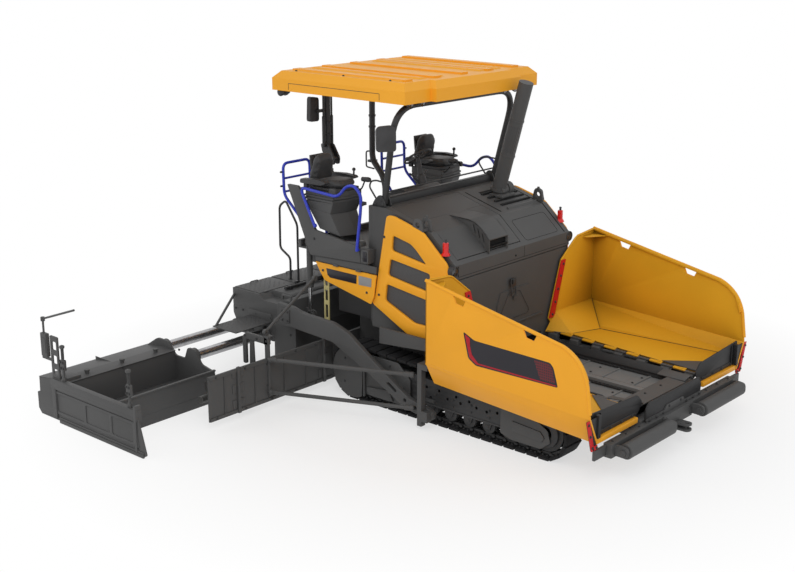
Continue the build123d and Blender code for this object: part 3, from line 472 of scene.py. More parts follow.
# Repeats: one item set at every point of a small point mesh, turned by its "turn" attribute
def makeRepeatTree():
    tree = bpy.data.node_groups.new("repeatItem", "GeometryNodeTree")
    for label, kind in (("Places", "Geometry"), ("Item", "Object"), ("Size", "Float"), ("Look", "Material")):
        tree.interface.new_socket(label, in_out="INPUT", socket_type="NodeSocket" + kind)
    tree.interface.new_socket("Result", in_out="OUTPUT", socket_type="NodeSocketGeometry")
    source = tree.nodes.new("NodeGroupInput").outputs
    item = addNode(tree, "GeometryNodeObjectInfo", {"Object": source["Item"]}).outputs["Geometry"]
    turn = addNode(tree, "GeometryNodeInputNamedAttribute", {"Name": "turn"},
        data_type="FLOAT_VECTOR").outputs["Attribute"]
    inputs = {"Points": source["Places"], "Instance": item, "Rotation": turn, "Scale": source["Size"]}
    spread = addNode(tree, "GeometryNodeInstanceOnPoints", inputs)
    realize = addNode(tree, "GeometryNodeRealizeInstances", {"Geometry": spread})
    dress = addNode(tree, "GeometryNodeSetMaterial", {"Geometry": realize, "Material": source["Look"]})
    addNode(tree, "NodeGroupOutput", {"Result": dress})
    return tree


repeatTree = makeRepeatTree()


def repeatItem(name, item, places, body, look, size=1.0, replaced=""):
    data = bpy.data.meshes.new(name)
    data.from_pydata([place for place, turn in places], [], [])
    turns = data.attributes.new("turn", "FLOAT_VECTOR", "POINT")
    turns.data.foreach_set("vector", [value for place, turn in places for value in turn])
    piece = newObject(name, data)
    modifier = piece.modifiers.new("repeat", "NODES")
    modifier.node_group = repeatTree
    values = {"Item": item, "Size": size, "Look": materials[look]}
    for socket in repeatTree.interface.items_tree:
        if socket.in_out == "INPUT" and socket.name in values:
            modifier[socket.identifier] = values[socket.name]
    piece.update_tag()
    made = evaluated(piece)
    piece.modifiers.clear()
    piece.data = made
    made.name = name
    clothe(piece, look)
    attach(piece, body)
    if replaced:
        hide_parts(replaced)


# Bolt heads are gathered here, by body, and set by one repeat for each body at the end
boltPlaces = {}


def addBolts(body, direction, *points):
    turn = Vector(direction).to_track_quat("Z", "Y") @ Matrix.Rotation(0.4 * len(points), 3, "Z").to_quaternion()
    boltPlaces.setdefault(body, []).extend((tuple(point), tuple(turn.to_euler())) for point in points)


def pairBolts(body, direction, *points):
    for sideName, side in sides:
        mirror = Vector((1, side, 1))
        addBolts(body.replace("*", sideName), Vector(direction) * mirror, *[Vector(point) * mirror for point in points])


print("tools ready")


# Tracks: rubber-padded shoes on a link chain, repeated round the sprocket and the idler
tracks = {
    "rearX": -0.66,
    "rearRadius": 0.335,
    "frontX": 2.02,
    "frontRadius": 0.285,
    "middleY": 1.1,
    "width": 0.3,
    "shoes": 49,
}


def trackPlaces(middleY):
    rear, front = tracks["rearRadius"], tracks["frontRadius"]
    run = tracks["frontX"] - tracks["rearX"]
    fall = 2 * math.atan((rear - front) / run)
    frontTurn, rearTurn = front * (math.pi - fall), rear * (math.pi + fall)
    pitch = (2 * run + frontTurn + rearTurn) / tracks["shoes"]
    places = []
    for distance in [number * pitch for number in range(tracks["shoes"])]:
        if distance < run:
            x, z, angle = tracks["rearX"] + distance, 0.0, 0.0
        elif distance < 2 * run + frontTurn:
            angle = min((distance - run) / front, math.pi - fall)
            along = max(0.0, distance - run - frontTurn)
            x = tracks["frontX"] + front * math.sin(angle) + along * math.cos(angle)
            z = front - front * math.cos(angle) + along * math.sin(angle)
        else:
            angle = math.pi - fall + (distance - 2 * run - frontTurn) / rear
            x, z = tracks["rearX"] + rear * math.sin(angle), rear - rear * math.cos(angle)
        places.append(((x, middleY, z), (0.0, -angle, 0.0)))
    return places, pitch


def makeTracks():
    pitch = trackPlaces(0)[1]
    half = tracks["width"] / 2 - 0.001
    reach = pitch / 2 - 0.005
    outline = [(-reach, 0.03), (-reach + 0.007, 0.0), (reach - 0.007, 0.0), (reach, 0.03)]
    addPlate(outline, "y", -half, half, 0.004)
    addBox((-0.052, 0.052), (-half + 0.012, half - 0.012), (0.028, 0.04), 0.003)
    pad = makeItem("shoeItem")
    for linkY in (-0.062, 0.062):
        addBox((-0.07, 0.05), (linkY - 0.012, linkY + 0.012), (0.04, 0.07), 0.008)
        addBox((0.04, 0.08), (linkY * 1.42 - 0.011, linkY * 1.42 + 0.011), (0.04, 0.066), 0.008)
    addRod((0.06, -0.1, 0.056), (0.06, 0.1, 0.056), 0.012, 12)
    for boltX in (-0.03, 0.022):
        for boltY in (-0.108, -0.036, 0.036, 0.108):
            addRod((boltX, boltY, 0.038), (boltX, boltY, 0.05), 0.01, 6, 0.001)
    link = makeItem("linkItem")
    for sideName, side in sides:
        places = trackPlaces(side * tracks["middleY"])[0]
        repeatItem("trackShoes_" + sideName, pad, places, "chassis", "track_rubber", replaced="track_" + sideName)
        repeatItem("trackLinks_" + sideName, link, places, "chassis", "cast_steel")
    bpy.data.objects.remove(pad)
    bpy.data.objects.remove(link)


makeTracks()


# Track frames: sprocket, idler, lower rollers in brackets, side beam with its bolt holes, drive cover
undercarriage = {"rollers": 8, "rollerPitch": 0.262, "holes": ((0.6, 0.395), (0.84, 0.385), (1.02, 0.375), (0.72, 0.33),
    (0.9, 0.325), (1.12, 0.33), (1.26, 0.32), (1.4, 0.345), (1.54, 0.335), (0.42, 0.4), (0.3, 0.3), (0.48, 0.29)),
    "plates": ((0.34, 0.54, 0.23, 0.27), (1.62, 1.7, 0.23, 0.38))}


def makeTrackFrame():
    inner, outer = 0.98, 1.22
    beam = [(-0.43, 0.205), (1.7, 0.205), (1.86, 0.25), (1.86, 0.33), (1.7, 0.4), (0.1, 0.52), (-0.3, 0.48),
        (-0.43, 0.4)]
    holes = [circle(x, z, 0.018, 12) for x, z in undercarriage["holes"]]
    addPierced([rounded(beam, 0.03)] + holes, "y", outer - 0.055, outer - 0.005, 0.002, 2)
    addBox((-0.62, 1.84), (inner, outer - 0.085), (0.245, 0.43), 0.008, 2)
    addBox((-0.5, 1.5), (0.64, inner), (0.33, 0.43), 0.008, 2)
    for x0, x1, z0, z1 in undercarriage["plates"]:
        addBox((x0, x1), (outer - 0.006, outer + 0.004), (z0, z1), 0.003)
    addBox((-0.4, 1.62), (outer - 0.06, outer + 0.002), (0.196, 0.214), 0.004)
    for number in range(undercarriage["rollers"]):
        x = -0.3 + number * undercarriage["rollerPitch"]
        addTurned((x, inner + 0.03, 0.158), (0, 1, 0), [(0, 0.05), (0.004, 0.084), (0.035, 0.084), (0.04, 0.062),
            (0.14, 0.062), (0.145, 0.084), (0.18, 0.084), (0.185, 0.04), (0.205, 0.038)], 28, 1)
        addPlate([(x - 0.055, 0.2), (x - 0.034, 0.128), (x + 0.034, 0.128), (x + 0.055, 0.2)], "y", outer - 0.028,
            outer - 0.008, 0.004, 1)
        addRod((x, outer - 0.03, 0.156), (x, outer + 0.002, 0.156), 0.022, 16, 0.003, 1)
        for boltX in (x - 0.08, x + 0.08):
            pairBolts("chassis", (0, 0, -1), (boltX, outer - 0.03, 0.196))
    for wheelX, wheelRadius, teeth in ((tracks["rearX"], tracks["rearRadius"], 17),
            (tracks["frontX"], tracks["frontRadius"], 0)):
        rim = wheelRadius - 0.08
        profile = [(0, 0.1), (0.004, rim - 0.05), (0.03, rim - 0.046), (0.034, rim), (0.066, rim), (0.07, rim - 0.07),
            (0.17, rim - 0.07), (0.174, rim), (0.206, rim), (0.21, rim - 0.046), (0.238, rim - 0.05), (0.24, 0.1)]
        addTurned((wheelX, inner, wheelRadius), (0, 1, 0), profile, 48, 1)
        addRod((wheelX, inner - 0.02, wheelRadius), (wheelX, outer, wheelRadius), 0.085, 28, 0.006, 1)
        for number in range(teeth):
            angle = 2 * math.pi * number / teeth
            middle = Vector((wheelX + math.sin(angle) * (rim - 0.012), 1.1,
                wheelRadius + math.cos(angle) * (rim - 0.012)))
            addRod(middle - Vector((0, 0.035, 0)), middle + Vector((0, 0.035, 0)), 0.024, 8, 0.004, 1)
    idlerSlide = [(1.55, 0.235), (1.92, 0.24), (1.96, 0.285), (1.92, 0.335), (1.55, 0.335)]
    addPlate(idlerSlide, "y", outer - 0.012, outer + 0.006, 0.004)
    addRod((tracks["frontX"], outer - 0.01, 0.285), (tracks["frontX"], outer + 0.004, 0.285), 0.05, 24, 0.004)
    cover = [(tracks["rearX"] + 0.306 * math.cos(t), 0.335 + 0.306 * math.sin(t))
        for t in [math.radians(56 + step * 6.4) for step in range(40)]]
    cover = [point for point in cover if point[0] < -0.485]
    addPierced([cover], "y", 1.258, 1.274, 0.003)
    addRod((tracks["rearX"], outer - 0.02, 0.335), (tracks["rearX"], 1.262, 0.335), 0.09, 28, 0.004)
    addBox((-0.492, -0.47), (1.245, 1.268), (0.075, 0.595), 0.003)
    sidePlate = [(-0.475, 0.1), (0.12, 0.1), (0.2, 0.2), (0.2, 0.42), (0.02, 0.59), (-0.475, 0.59)]
    addPierced([rounded(sidePlate, 0.02)], "y", 1.225, 1.24, 0.003)
    addPlate([(-0.44, 0.2), (-0.1, 0.235), (-0.04, 0.12), (-0.1, 0.108), (-0.4, 0.108), (-0.44, 0.15)], "y", 1.238,
        1.262, 0.004)
    frontGuard = [(1.46, 0.15), (1.6, 0.105), (1.98, 0.105), (2.1, 0.2), (2.06, 0.33), (1.9, 0.415), (1.46, 0.44)]
    addPierced([rounded(frontGuard, 0.02)], "y", 1.227, 1.24, 0.003)
    addPlate([(1.62, 0.215), (2.0, 0.19), (2.03, 0.24), (1.98, 0.3), (1.62, 0.325)], "y", 1.238, 1.254, 0.004)
    makePiece("undercarriage_*", "chassis", "dark_paint cast_steel black_paint", "track_frame_*")
    pairBolts("chassis", (0, 1, 0), *[(-0.66 + 0.18 * math.cos(a), 1.274, 0.335 + 0.18 * math.sin(a))
        for a in (2.2, 3.1, 4.0)])
    pairBolts("chassis", (0, 1, 0), *[(x, 1.216, z) for x in (0.3, 0.55, 0.8, 1.05, 1.3) for z in (0.26, 0.34)])
    pairBolts("chassis", (0, 1, 0), (-0.4, 1.24, 0.53), (-0.1, 1.24, 0.53), (0.1, 1.24, 0.3))


makeTrackFrame()
print("tracks made")


# Side panels: thick rounded frames round three recessed screens
panelLook = {"edge": 0.012, "corner": 0.035}


def makeSidePanel():
    outline = [(-0.235, 2.232), (-0.14, 2.24), (0.285, 2.125), (0.64, 1.812), (0.65, 1.7), (0.64, 0.88), (0.285, 0.88),
        (0.1, 0.905), (-0.46, 1.18), (-0.415, 1.262)]
    windows = [
        [(-0.14, 2.02), (0.12, 1.962), (0.2, 1.905), (0.35, 1.765), (-0.158, 1.845)],
        [(-0.18, 1.745), (0.4, 1.672), (0.38, 1.462), (-0.215, 1.548)],
        [(-0.232, 1.445), (0.376, 1.365), (0.376, 1.07), (0.175, 1.07), (-0.258, 1.248)],
    ]
    holes = [rounded(window, panelLook["corner"], 5) for window in windows]
    addPierced([rounded(outline, 0.05, 6)] + holes, "y", 1.112, 1.15, panelLook["edge"])
    makePiece("sidePanel_*", "chassis", "yellow_paint", "side_panel_*")
    for window in windows:
        addPierced([rounded(window, 0.02)], "y", 1.11, 1.12, 0.001)
        middleA, middleB = (sum(values) / len(window) for values in zip(*window))
        grown = [(middleA + (a - middleA) * 1.06, middleB + (b - middleB) * 1.08) for a, b in window]
        addPierced([rounded(grown, 0.02)], "y", 1.1, 1.1115, 0.001)
    makePiece("sideScreens_*", "chassis", "screen")
    eye = rounded([(0.13, 2.13), (0.29, 2.105), (0.262, 2.235), (0.21, 2.258), (0.158, 2.245)], 0.02)
    ring = circle(0.21, 2.185, 0.03, 24)
    addPierced([eye, ring], "y", 1.112, 1.136, 0.003)
    second = [[(x + 0.05, z + 0.01) for x, z in loop] for loop in (eye, ring)]
    addPierced(second, "y", 1.03, 1.05, 0.003)
    addBox((0.19, 0.3), (1.045, 1.115), (2.125, 2.15), 0.003)
    addRod((0.262, 1.04, 2.262), (0.262, 1.04, 2.29), 0.016, 14)
    makePiece("liftingEye_*", "chassis", "dark_paint")
    pairBolts("chassis", (0, 1, 0), (-0.345, 1.15, 1.3), (-0.262, 1.15, 1.985), (0.6, 1.15, 1.0))


# Tail panels with a blank dark plate and a blank pale plate
def makeTailPanel():
    outline = [(-1.325, 1.528), (-0.362, 1.528), (-0.402, 1.262), (-0.446, 1.172), (-0.6, 1.206), (-1.175, 1.322),
        (-1.24, 1.4)]
    darkPlate = [(-1.145, 1.476), (-0.66, 1.476), (-0.665, 1.372), (-1.085, 1.372), (-1.125, 1.398)]
    palePlate = [(-0.628, 1.478), (-0.43, 1.478), (-0.434, 1.376), (-0.628, 1.37)]
    for sideName, side in sides:
        addPierced([rounded(outline, 0.012)], "y", side * 1.16, side * 1.18, 0.005)
        addPlate(darkPlate, "y", side * 1.18, side * 1.183, 0.001, 1)
        addPlate(palePlate, "y", side * 1.18, side * 1.184, 0.001, 2)
        makePiece("tailPanel_" + sideName, "chassis", "yellow_paint dark_panel plate_grey", "tail_panel_" + sideName)
    pairBolts("chassis", (0, 1, 0), (-0.505, 1.18, 1.3), (-1.2, 1.18, 1.44))
    strip = [(-1.216, 0.76), (-1.134, 0.76), (-1.134, 1.505), (-1.216, 1.505)]
    slots = [rounded([(-1.196, low), (-1.154, low), (-1.154, high), (-1.196, high)], 0.008)
        for low, high in ((0.86, 1.02), (1.07, 1.2), (1.25, 1.4))]
    addPierced([rounded(strip, 0.006)] + slots, "y", 1.14, 1.155, 0.002)
    addBox((-1.19, -1.16), (1.001, 1.141), (1.4, 1.44), 0.003)
    addRod((-1.175, 1.15, 0.8), (-1.175, 1.172, 0.8), 0.026, 16)
    makePiece("levelStrip_*", "chassis", "pale_paint", "level_strips")


# Fenders: folded plate with a return lip, boxed front end and the dark strip below
def makeFender():
    outline = [(-1.738, 2.398), (-1.56, 2.398), (-1.515, 2.34), (-1.29, 1.912), (-0.6, 1.828), (-0.565, 1.64),
        (-1.372, 1.602)]
    addPierced([rounded(outline, 0.02)], "y", 1.175, 1.215, 0.006)
    addBox((-0.566, -0.45), (1.1, 1.215), (1.645, 1.808), 0.006)
    addPlate([(-0.7, 1.815), (-0.566, 1.825), (-0.566, 1.87), (-0.59, 1.885), (-0.86, 1.85)], "y", 1.12, 1.205, 0.006)
    addBox((-0.532, -0.468), (1.2145, 1.2165), (1.67, 1.785), 0.001, 1)
    makePiece("fender_*", "chassis", "dark_paint dark_panel", "fenders")
    strip = [(-1.31, 1.598), (-1.3, 1.545), (-0.345, 1.545), (-0.345, 1.625), (-0.56, 1.632), (-1.31, 1.6)]
    addPierced([rounded(strip, 0.006)], "y", 1.181, 1.196, 0.003)
    for x in (-0.98, -0.62):
        addBox((x - 0.04, x + 0.04), (1.182, 1.204), (1.526, 1.556), 0.006)
    makePiece("fenderStrip_*", "chassis", "dark_paint")
    pairBolts("chassis", (0, 1, 0), (-1.3, 1.215, 1.81), (-1.4, 1.215, 2.17), (-0.52, 1.216, 1.7), (-0.48, 1.216, 1.76))


clothe(frame["nodes"]["rear_body"], "black_paint")
makeSidePanel()
makeTailPanel()
makeFender()


# Hood lid: folded skin, tapered scoop with a divided mouth and three slanted side slots
scoopLook = {"near": -0.475, "far": -0.125, "wall": 0.012, "mouth": 0.688}


def makeHoodLid():
    lid = [(-0.283, 2.288), (0.3, 2.122), (0.345, 2.108), (0.385, 2.08), (0.648, 1.8466), (0.632, 1.832),
        (0.352, 2.084), (-0.283, 2.268)]
    addPlate(lid, "y", -0.983, 0.153, 0.003)
    near, far, wall, mouth = scoopLook["near"], scoopLook["far"], scoopLook["wall"], scoopLook["mouth"]
    ridge = [(0.08, 2.178), (0.3, 2.174), (0.4, 2.168), (0.47, 2.152), (0.53, 2.12), (0.6, 2.066), (mouth, 1.978)]
    addPlate(ridge + [(x - 0.006, z - 0.013) for x, z in reversed(ridge)], "y", near, far, 0.002)
    cheek = ridge + [(mouth, 1.819), (0.655, 1.849), (0.64, 1.846), (0.36, 2.094), (0.1, 2.162)]
    slots = [rounded([(x, z), (x + 0.016, z), (x + 0.046, z - 0.1), (x + 0.03, z - 0.1)], 0.006)
        for x, z in ((0.452, 2.122), (0.514, 2.08), (0.576, 2.036))]
    addPierced([cheek] + slots, "y", near, near + wall, 0.001)
    addPlate(cheek, "y", far - wall, far, 0.001)
    addBox((0.655, mouth), (near + wall, far - wall), (1.89, 1.899), 0.001)
    # Near-black sheets inside the scoop, behind the side slots and across the mouth, are painted shade of its inside
    addPlate([(0.43, 2.06), (0.43, 2.14), (0.5, 2.115), (0.6, 2.04), (0.64, 1.99), (0.64, 1.88)], "y", near + 0.022,
        near + 0.025, 0.0, 1)
    addBox((0.648, 0.652), (near + wall, far - wall), (1.862, 2.002), 0.0, 1)
    makePiece("hoodLid", "hood_lid", "dark_paint void_black", "hood_lid")
    for low, high in ((-0.98, near), (far, 0.15)):
        addPlate([(0.086, 2.179), (0.086, 2.184), (0.0905, 2.1827), (0.0905, 2.177)], "y", low, high)
    makePiece("lidSeam", "hood_lid", "black_rubber")


# Hood trim: seams, the far door, the far gutter, the dark ledge behind and a bar above it
def makeHoodFittings():
    addPlate([(-0.526, 0.94), (-0.526, 2.296), (-0.512, 2.296), (-0.512, 0.94)], "y", -1.083, -1.06, 0.002)
    makePiece("hoodTrim", "chassis", "dark_paint")
    door = eased([Vector((x, y, 2.105 - (x - 0.36) * 0.897 + 0.0006))
        for x, y in ((0.44, 0.258), (0.664, 0.262), (0.664, 0.9), (0.44, 0.9))], 0.045, closed=True)
    addTube(door, 0.0022, 0.001, 6, True, steps=1)
    addPlate([(-0.28, 2.289), (0.36, 2.107), (0.688, 1.812), (0.682, 1.806), (0.356, 2.098), (-0.28, 2.28)], "y", 0.986,
        1.004, 0.001)
    addBox((0.6985, 0.7015), (-1.036, -1.024), (1.67, 1.79), 0.0)
    addBox((0.6985, 0.701), (0.176, 0.18), (1.67, 1.796), 0.0)
    addBox((0.6985, 0.701), (-1.02, 1.02), (1.667, 1.671), 0.0)
    addRod((0.699, 0.01, 1.712), (0.706, 0.01, 1.712), 0.011, 14)
    makePiece("hoodSeams", "chassis", "void_black")
    slope = (2.29 - 2.105) / 0.65
    for number in range(5):
        x = -0.17 + number * 0.096
        z = 2.29 - (x + 0.29) * slope
        # The flat near-black strip under each louvre is painted shade of its opening
        addPlate([(x, z + 0.0012), (x + 0.058, z + 0.0012 - 0.058 * slope), (x + 0.058, z - 0.02), (x, z - 0.008)], "y",
            0.42, 0.955, 0.0, 1)
        addPlate([(x + 0.052, z - 0.015), (x + 0.06, z + 0.002), (x + 0.074, z + 0.0), (x + 0.088, z - 0.026)], "y",
            0.4, 0.965, 0.002)
    addPlate([(-0.235, 2.275), (-0.235, 2.2755), (0.3, 2.1234), (0.3, 2.12)], "y", 0.24, 0.262, 0.001, 1)
    makePiece("hoodLouvres", "chassis", "dark_paint void_black")
    addBox((-0.47, -0.385), (-0.935, 1.09), (2.285, 2.368), 0.008)
    addBox((-0.455, -0.4), (-0.935, 1.09), (2.366, 2.378), 0.004)
    addTube([(-0.42, -0.93, 2.4), (-0.42, -0.9, 2.436), (-0.42, 1.06, 2.436), (-0.42, 1.085, 2.4)], 0.0095, 0.02, 10)
    addTube([(-0.45, 1.1, 2.36), (-0.43, 1.16, 2.45), (-0.425, 1.165, 2.585)], 0.01, 0.03, 10)
    addBox((-0.45, -0.4), (1.145, 1.19), (2.56, 2.6), 0.006)
    makePiece("hoodLedge", "chassis", "black_paint")


makeHoodLid()
makeHoodFittings()
print("body made")


# Rails: blue rails over the fenders and round the deck's back, black rails on the screed
railLook = {"radius": 0.0175, "bend": 0.1}


def makeRails():
    with bothSides():
        y = 1.235
        over = [(-1.262, y, 1.955), (-1.5, y, 2.395), (-0.89, y, 2.36), (-0.76, y, 2.5), (-0.64, y, 2.53),
            (-0.53, y, 2.43), (-0.54, y, 2.25), (-0.605, y, 1.78)]
        addTube(over, railLook["radius"], railLook["bend"], 14, steps=6)
        for x, z in ((-1.27, 1.972), (-0.603, 1.795)):
            addRod((x, 1.214, z), (x, 1.24, z), 0.022, 16)
        out, into = 1.09, 0.65
        rear = [(-1.5, out, 1.855), (-1.92, out, 2.22), (-1.93, out, 2.6), (-1.93, into, 2.6), (-1.92, into, 2.22),
            (-1.66, into, 1.9), (-1.655, into, 1.64)]
        addTube(rear, railLook["radius"], 0.08, 14, steps=6)
        addTube([(-1.924, out, 2.42), (-1.924, into, 2.42)], 0.014, 0.01, 12)
        addTube([(-1.921, out, 2.26), (-1.921, into, 2.26)], 0.014, 0.01, 12)
        addRod((-1.5, out, 1.852), (-1.5, 1.174, 1.852), 0.02, 16)
        addBox((-1.69, -1.62), (into - 0.035, into + 0.035), (1.62, 1.63), 0.003)
    makePiece("handRails", "chassis", "blue_paint", "hand_rails")
    with bothSides():
        for z in (2.5, 2.33):
            addRod((-1.932, 1.105, z), (-1.932, 1.135, z), 0.012, 12)
        addRod((-0.535, 1.205, 2.33), (-0.535, 1.24, 2.33), 0.026, 16)
        addBox((-0.575, -0.515), (1.16, 1.21), (2.312, 2.348), 0.004)
    makePiece("railClips", "chassis", "black_plastic")
    with bothSides():
        y = 0.53
        access = [(-2.43, y, 0.96), (-2.43, y, 1.25), (-2.61, y, 1.35), (-2.605, y, 1.9), (-2.49, y, 1.985),
            (-2.29, y, 1.7), (-2.29, y, 0.96)]
        addTube(access, 0.0145, 0.05, 12)
        for x in (-2.43, -2.29):
            addBox((x - 0.035, x + 0.035), (y - 0.03, y + 0.03), (0.958, 0.968), 0.003)
    makePiece("accessRails", "screed", "black_paint", "access_rails")


makeRails()


# Seats: cushion and back are padded by a short cloth run, then seamed with piping
seatLook = {"voxel": 0.012, "pressure": 4.0, "steps": 18, "cushionCap": 0.016, "backCap": 0.014}


def padForm(width, depth, height, crown, taper=1.0, waist=0.0):
    mesh = takeMesh()
    counts = (14, 14, 5)
    grid = {}
    for cell in product(*(range(count + 1) for count in counts)):
        if all(0 < index < count for index, count in zip(cell, counts)):
            continue
        u, v, w = (index / count * 2 - 1 for index, count in zip(cell, counts))
        lift = (1 - u * u) * (1 - v * v)
        pull = 1 - 0.1 * w * w
        narrow = 1 + (taper - 1) * (u + 1) / 2
        x = u * depth / 2 * pull * math.sqrt(1 - 0.36 * v**4)
        y = v * width / 2 * pull * narrow * math.sqrt(1 - 0.36 * u**4)
        z = w * height / 2 * (1 - 0.28 * max(abs(u), abs(v)) ** 6) + (crown * lift if w > 0 else 0) * w
        grid[cell] = mesh.verts.new((x, y, z + waist * abs(v) ** 3 * (w > 0)))
    for axis in (0, 1, 2):
        a, b = [other for other in (0, 1, 2) if other != axis]
        for i, j, level in product(range(counts[a]), range(counts[b]), (0, counts[axis])):
            face = []
            for stepA, stepB in ((0, 0), (1, 0), (1, 1), (0, 1)):
                cell = [level, level, level]
                cell[a], cell[b] = i + stepA, j + stepB
                face.append(grid[tuple(cell)])
            mesh.faces.new(face)
    bmesh.ops.recalc_face_normals(mesh, faces=mesh.faces[:])
    return mesh


def swell(mesh, cap):
    data = bpy.data.meshes.new("pad")
    mesh.to_mesh(data)
    mesh.free()
    pad = newObject("pad", data)
    remesh = pad.modifiers.new("remesh", "REMESH")
    remesh.mode = "VOXEL"
    remesh.voxel_size = seatLook["voxel"]
    even = evaluated(pad)
    pad.modifiers.clear()
    pad.data = even
    rest = [vert.co.copy() for vert in even.vertices]
    cloth = pad.modifiers.new("cloth", "CLOTH")
    cloth.settings.use_pressure = True
    cloth.settings.uniform_pressure_force = seatLook["pressure"]
    cloth.settings.effector_weights.gravity = 0.0
    cloth.settings.quality = 4
    scene = bpy.context.scene
    for step in range(1, seatLook["steps"] + 1):
        scene.frame_set(step)
    blown = evaluated(pad)
    pad.modifiers.clear()
    for vert, start in zip(blown.vertices, rest):
        move = vert.co - start
        if move.length > cap:
            vert.co = start + move.normalized() * cap
    pad.data = blown
    scene.frame_set(1)
    pad.modifiers.new("smooth", "SUBSURF").levels = 1
    done = evaluated(pad)
    bpy.data.objects.remove(pad)
    done.shade_smooth()
    return done


def placePad(name, data, place, replaced=""):
    made = data.copy()
    made.transform(place)
    pad = newObject(name, made)
    clothe(pad, "black_vinyl")
    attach(pad, "chassis")
    if replaced:
        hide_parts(replaced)


def makeSeats():
    cushionData = swell(padForm(0.4, 0.45, 0.07, 0.01, 0.94, 0.012), seatLook["cushionCap"])
    backData = swell(padForm(0.39, 0.38, 0.075, 0.006, 0.82, 0.008), seatLook["backCap"])
    shell = [(-1.475, 2.42), (-1.44, 2.41), (-1.47, 2.56), (-1.5, 2.74), (-1.525, 2.745), (-1.505, 2.58)]
    armPad = rounded([(-1.525, 2.44), (-1.52, 2.492), (-1.3, 2.508), (-1.14, 2.5), (-1.11, 2.478), (-1.18, 2.45)], 0.02)
    for sideName, side in sides:
        middle = side * 0.93
        cushionPlace = Matrix.Translation((-1.215, middle, 2.436)) @ Matrix.Rotation(math.radians(-3), 4, "Y")
        backPlace = Matrix.Translation((-1.43, middle, 2.59)) @ Matrix.Rotation(math.radians(-77), 4, "Y")
        placePad("seatCushion_" + sideName, cushionData, cushionPlace, "operator_chair_" + sideName)
        placePad("seatBack_" + sideName, backData, backPlace)
        for place, half, long in ((cushionPlace, 0.165, 0.205), (backPlace, 0.15, 0.18)):
            for across in (-half, half):
                route = ((-long * 0.86, across * 0.62, 0.046), (0.0, across * 0.66, 0.057),
                    (long * 0.86, across * 0.6, 0.046))
                addTube([place @ Vector(point) for point in route], 0.0035, 0.15, 8)
        makePiece("seatPiping_" + sideName, "chassis", "black_plastic")
        addPlate(shell, "y", middle - 0.125, middle + 0.125, 0.01)
        addBox((-1.44, -1.01), (middle - 0.2, middle + 0.175), (2.3715, 2.405), 0.008)
        addBox((-1.5, -1.43), (middle - 0.17, middle + 0.17), (2.38, 2.425), 0.008)
        for y in (middle - 0.245, middle + 0.245):
            addBox((-1.485, -1.43), (y - 0.018, y + 0.018), (2.374, 2.45), 0.006)
        makePiece("seatShell_" + sideName, "chassis", "black_plastic")
        for y in (middle - 0.245, middle + 0.245):
            addPlate(armPad, "y", y - 0.036, y + 0.036, 0.012)
        addRod((-1.16, y, 2.495), (-1.157, y, 2.56), 0.011, 12)
        addTurned((-1.157, y, 2.55), (0, 0, 1), [(0, 0.01), (0.008, 0.019), (0.022, 0.022), (0.034, 0.016),
            (0.04, 0.006)], 16)
        makePiece("armRests_" + sideName, "chassis", "black_plastic")


makeSeats()


# Consoles: faceted tubs under two belts, a post to the deck and small controls
def makeConsole():
    foot = [(-1.26, 1.16, 1.925), (-0.94, 1.16, 1.882), (-0.88, 0.93, 1.875), (-0.96, 0.76, 1.885),
        (-1.26, 0.76, 1.925)]
    waist = [(-1.445, 1.16, 2.16), (-1.09, 1.16, 2.12), (-1.04, 0.93, 2.115), (-1.05, 0.75, 2.115),
        (-1.445, 0.75, 2.16)]
    collar = [(-1.49, 1.167, 2.24), (-1.04, 1.167, 2.25), (-0.995, 0.96, 2.252), (-0.99, 0.735, 2.252),
        (-1.49, 0.735, 2.24)]
    addRings(foot, waist, 0.006)
    addRings(waist, collar, 0.006)
    for grow, low, high in ((0.002, 2.25, 2.278), (-0.008, 2.276, 2.288), (0.006, 2.286, 2.312), (-0.006, 2.31, 2.37)):
        ring = [(x + (grow if x > -1.2 else -grow), min(y + grow, 1.172)) for x, y, z in collar]
        addRings([(x, y, low) for x, y in ring], [(x, y, high) for x, y in ring], 0.005)
    addBox((-1.2, -0.98), (0.78, 1.06), (1.62, 1.93), 0.006)
    addBox((-1.1, -1.0), (1.133, 1.168), (2.365, 2.42), 0.008)
    makePiece("console_*", "chassis", "dark_paint", "console_*", False)
    addBox((-1.09, -1.01), (1.137, 1.164), (2.419, 2.423), 0.001)
    makePiece("consoleDisplay_*", "chassis", "display")
    addTube([(-1.0, 0.79, 2.34), (-0.93, 0.79, 2.39), (-0.88, 0.795, 2.49)], 0.009, 0.04)
    addTurned((-0.925, 0.795, 2.5), (1, 0, 0.05), [(0, 0.01), (0.006, 0.026), (0.1, 0.03), (0.126, 0.022),
        (0.13, 0.006)], 20)
    for number in range(4):
        addRod((-1.08 + number * 0.022, 1.15, 2.422), (-1.08 + number * 0.022, 1.15, 2.43), 0.007, 12, 0.002)
    makePiece("consoleControls_*", "chassis", "black_plastic")


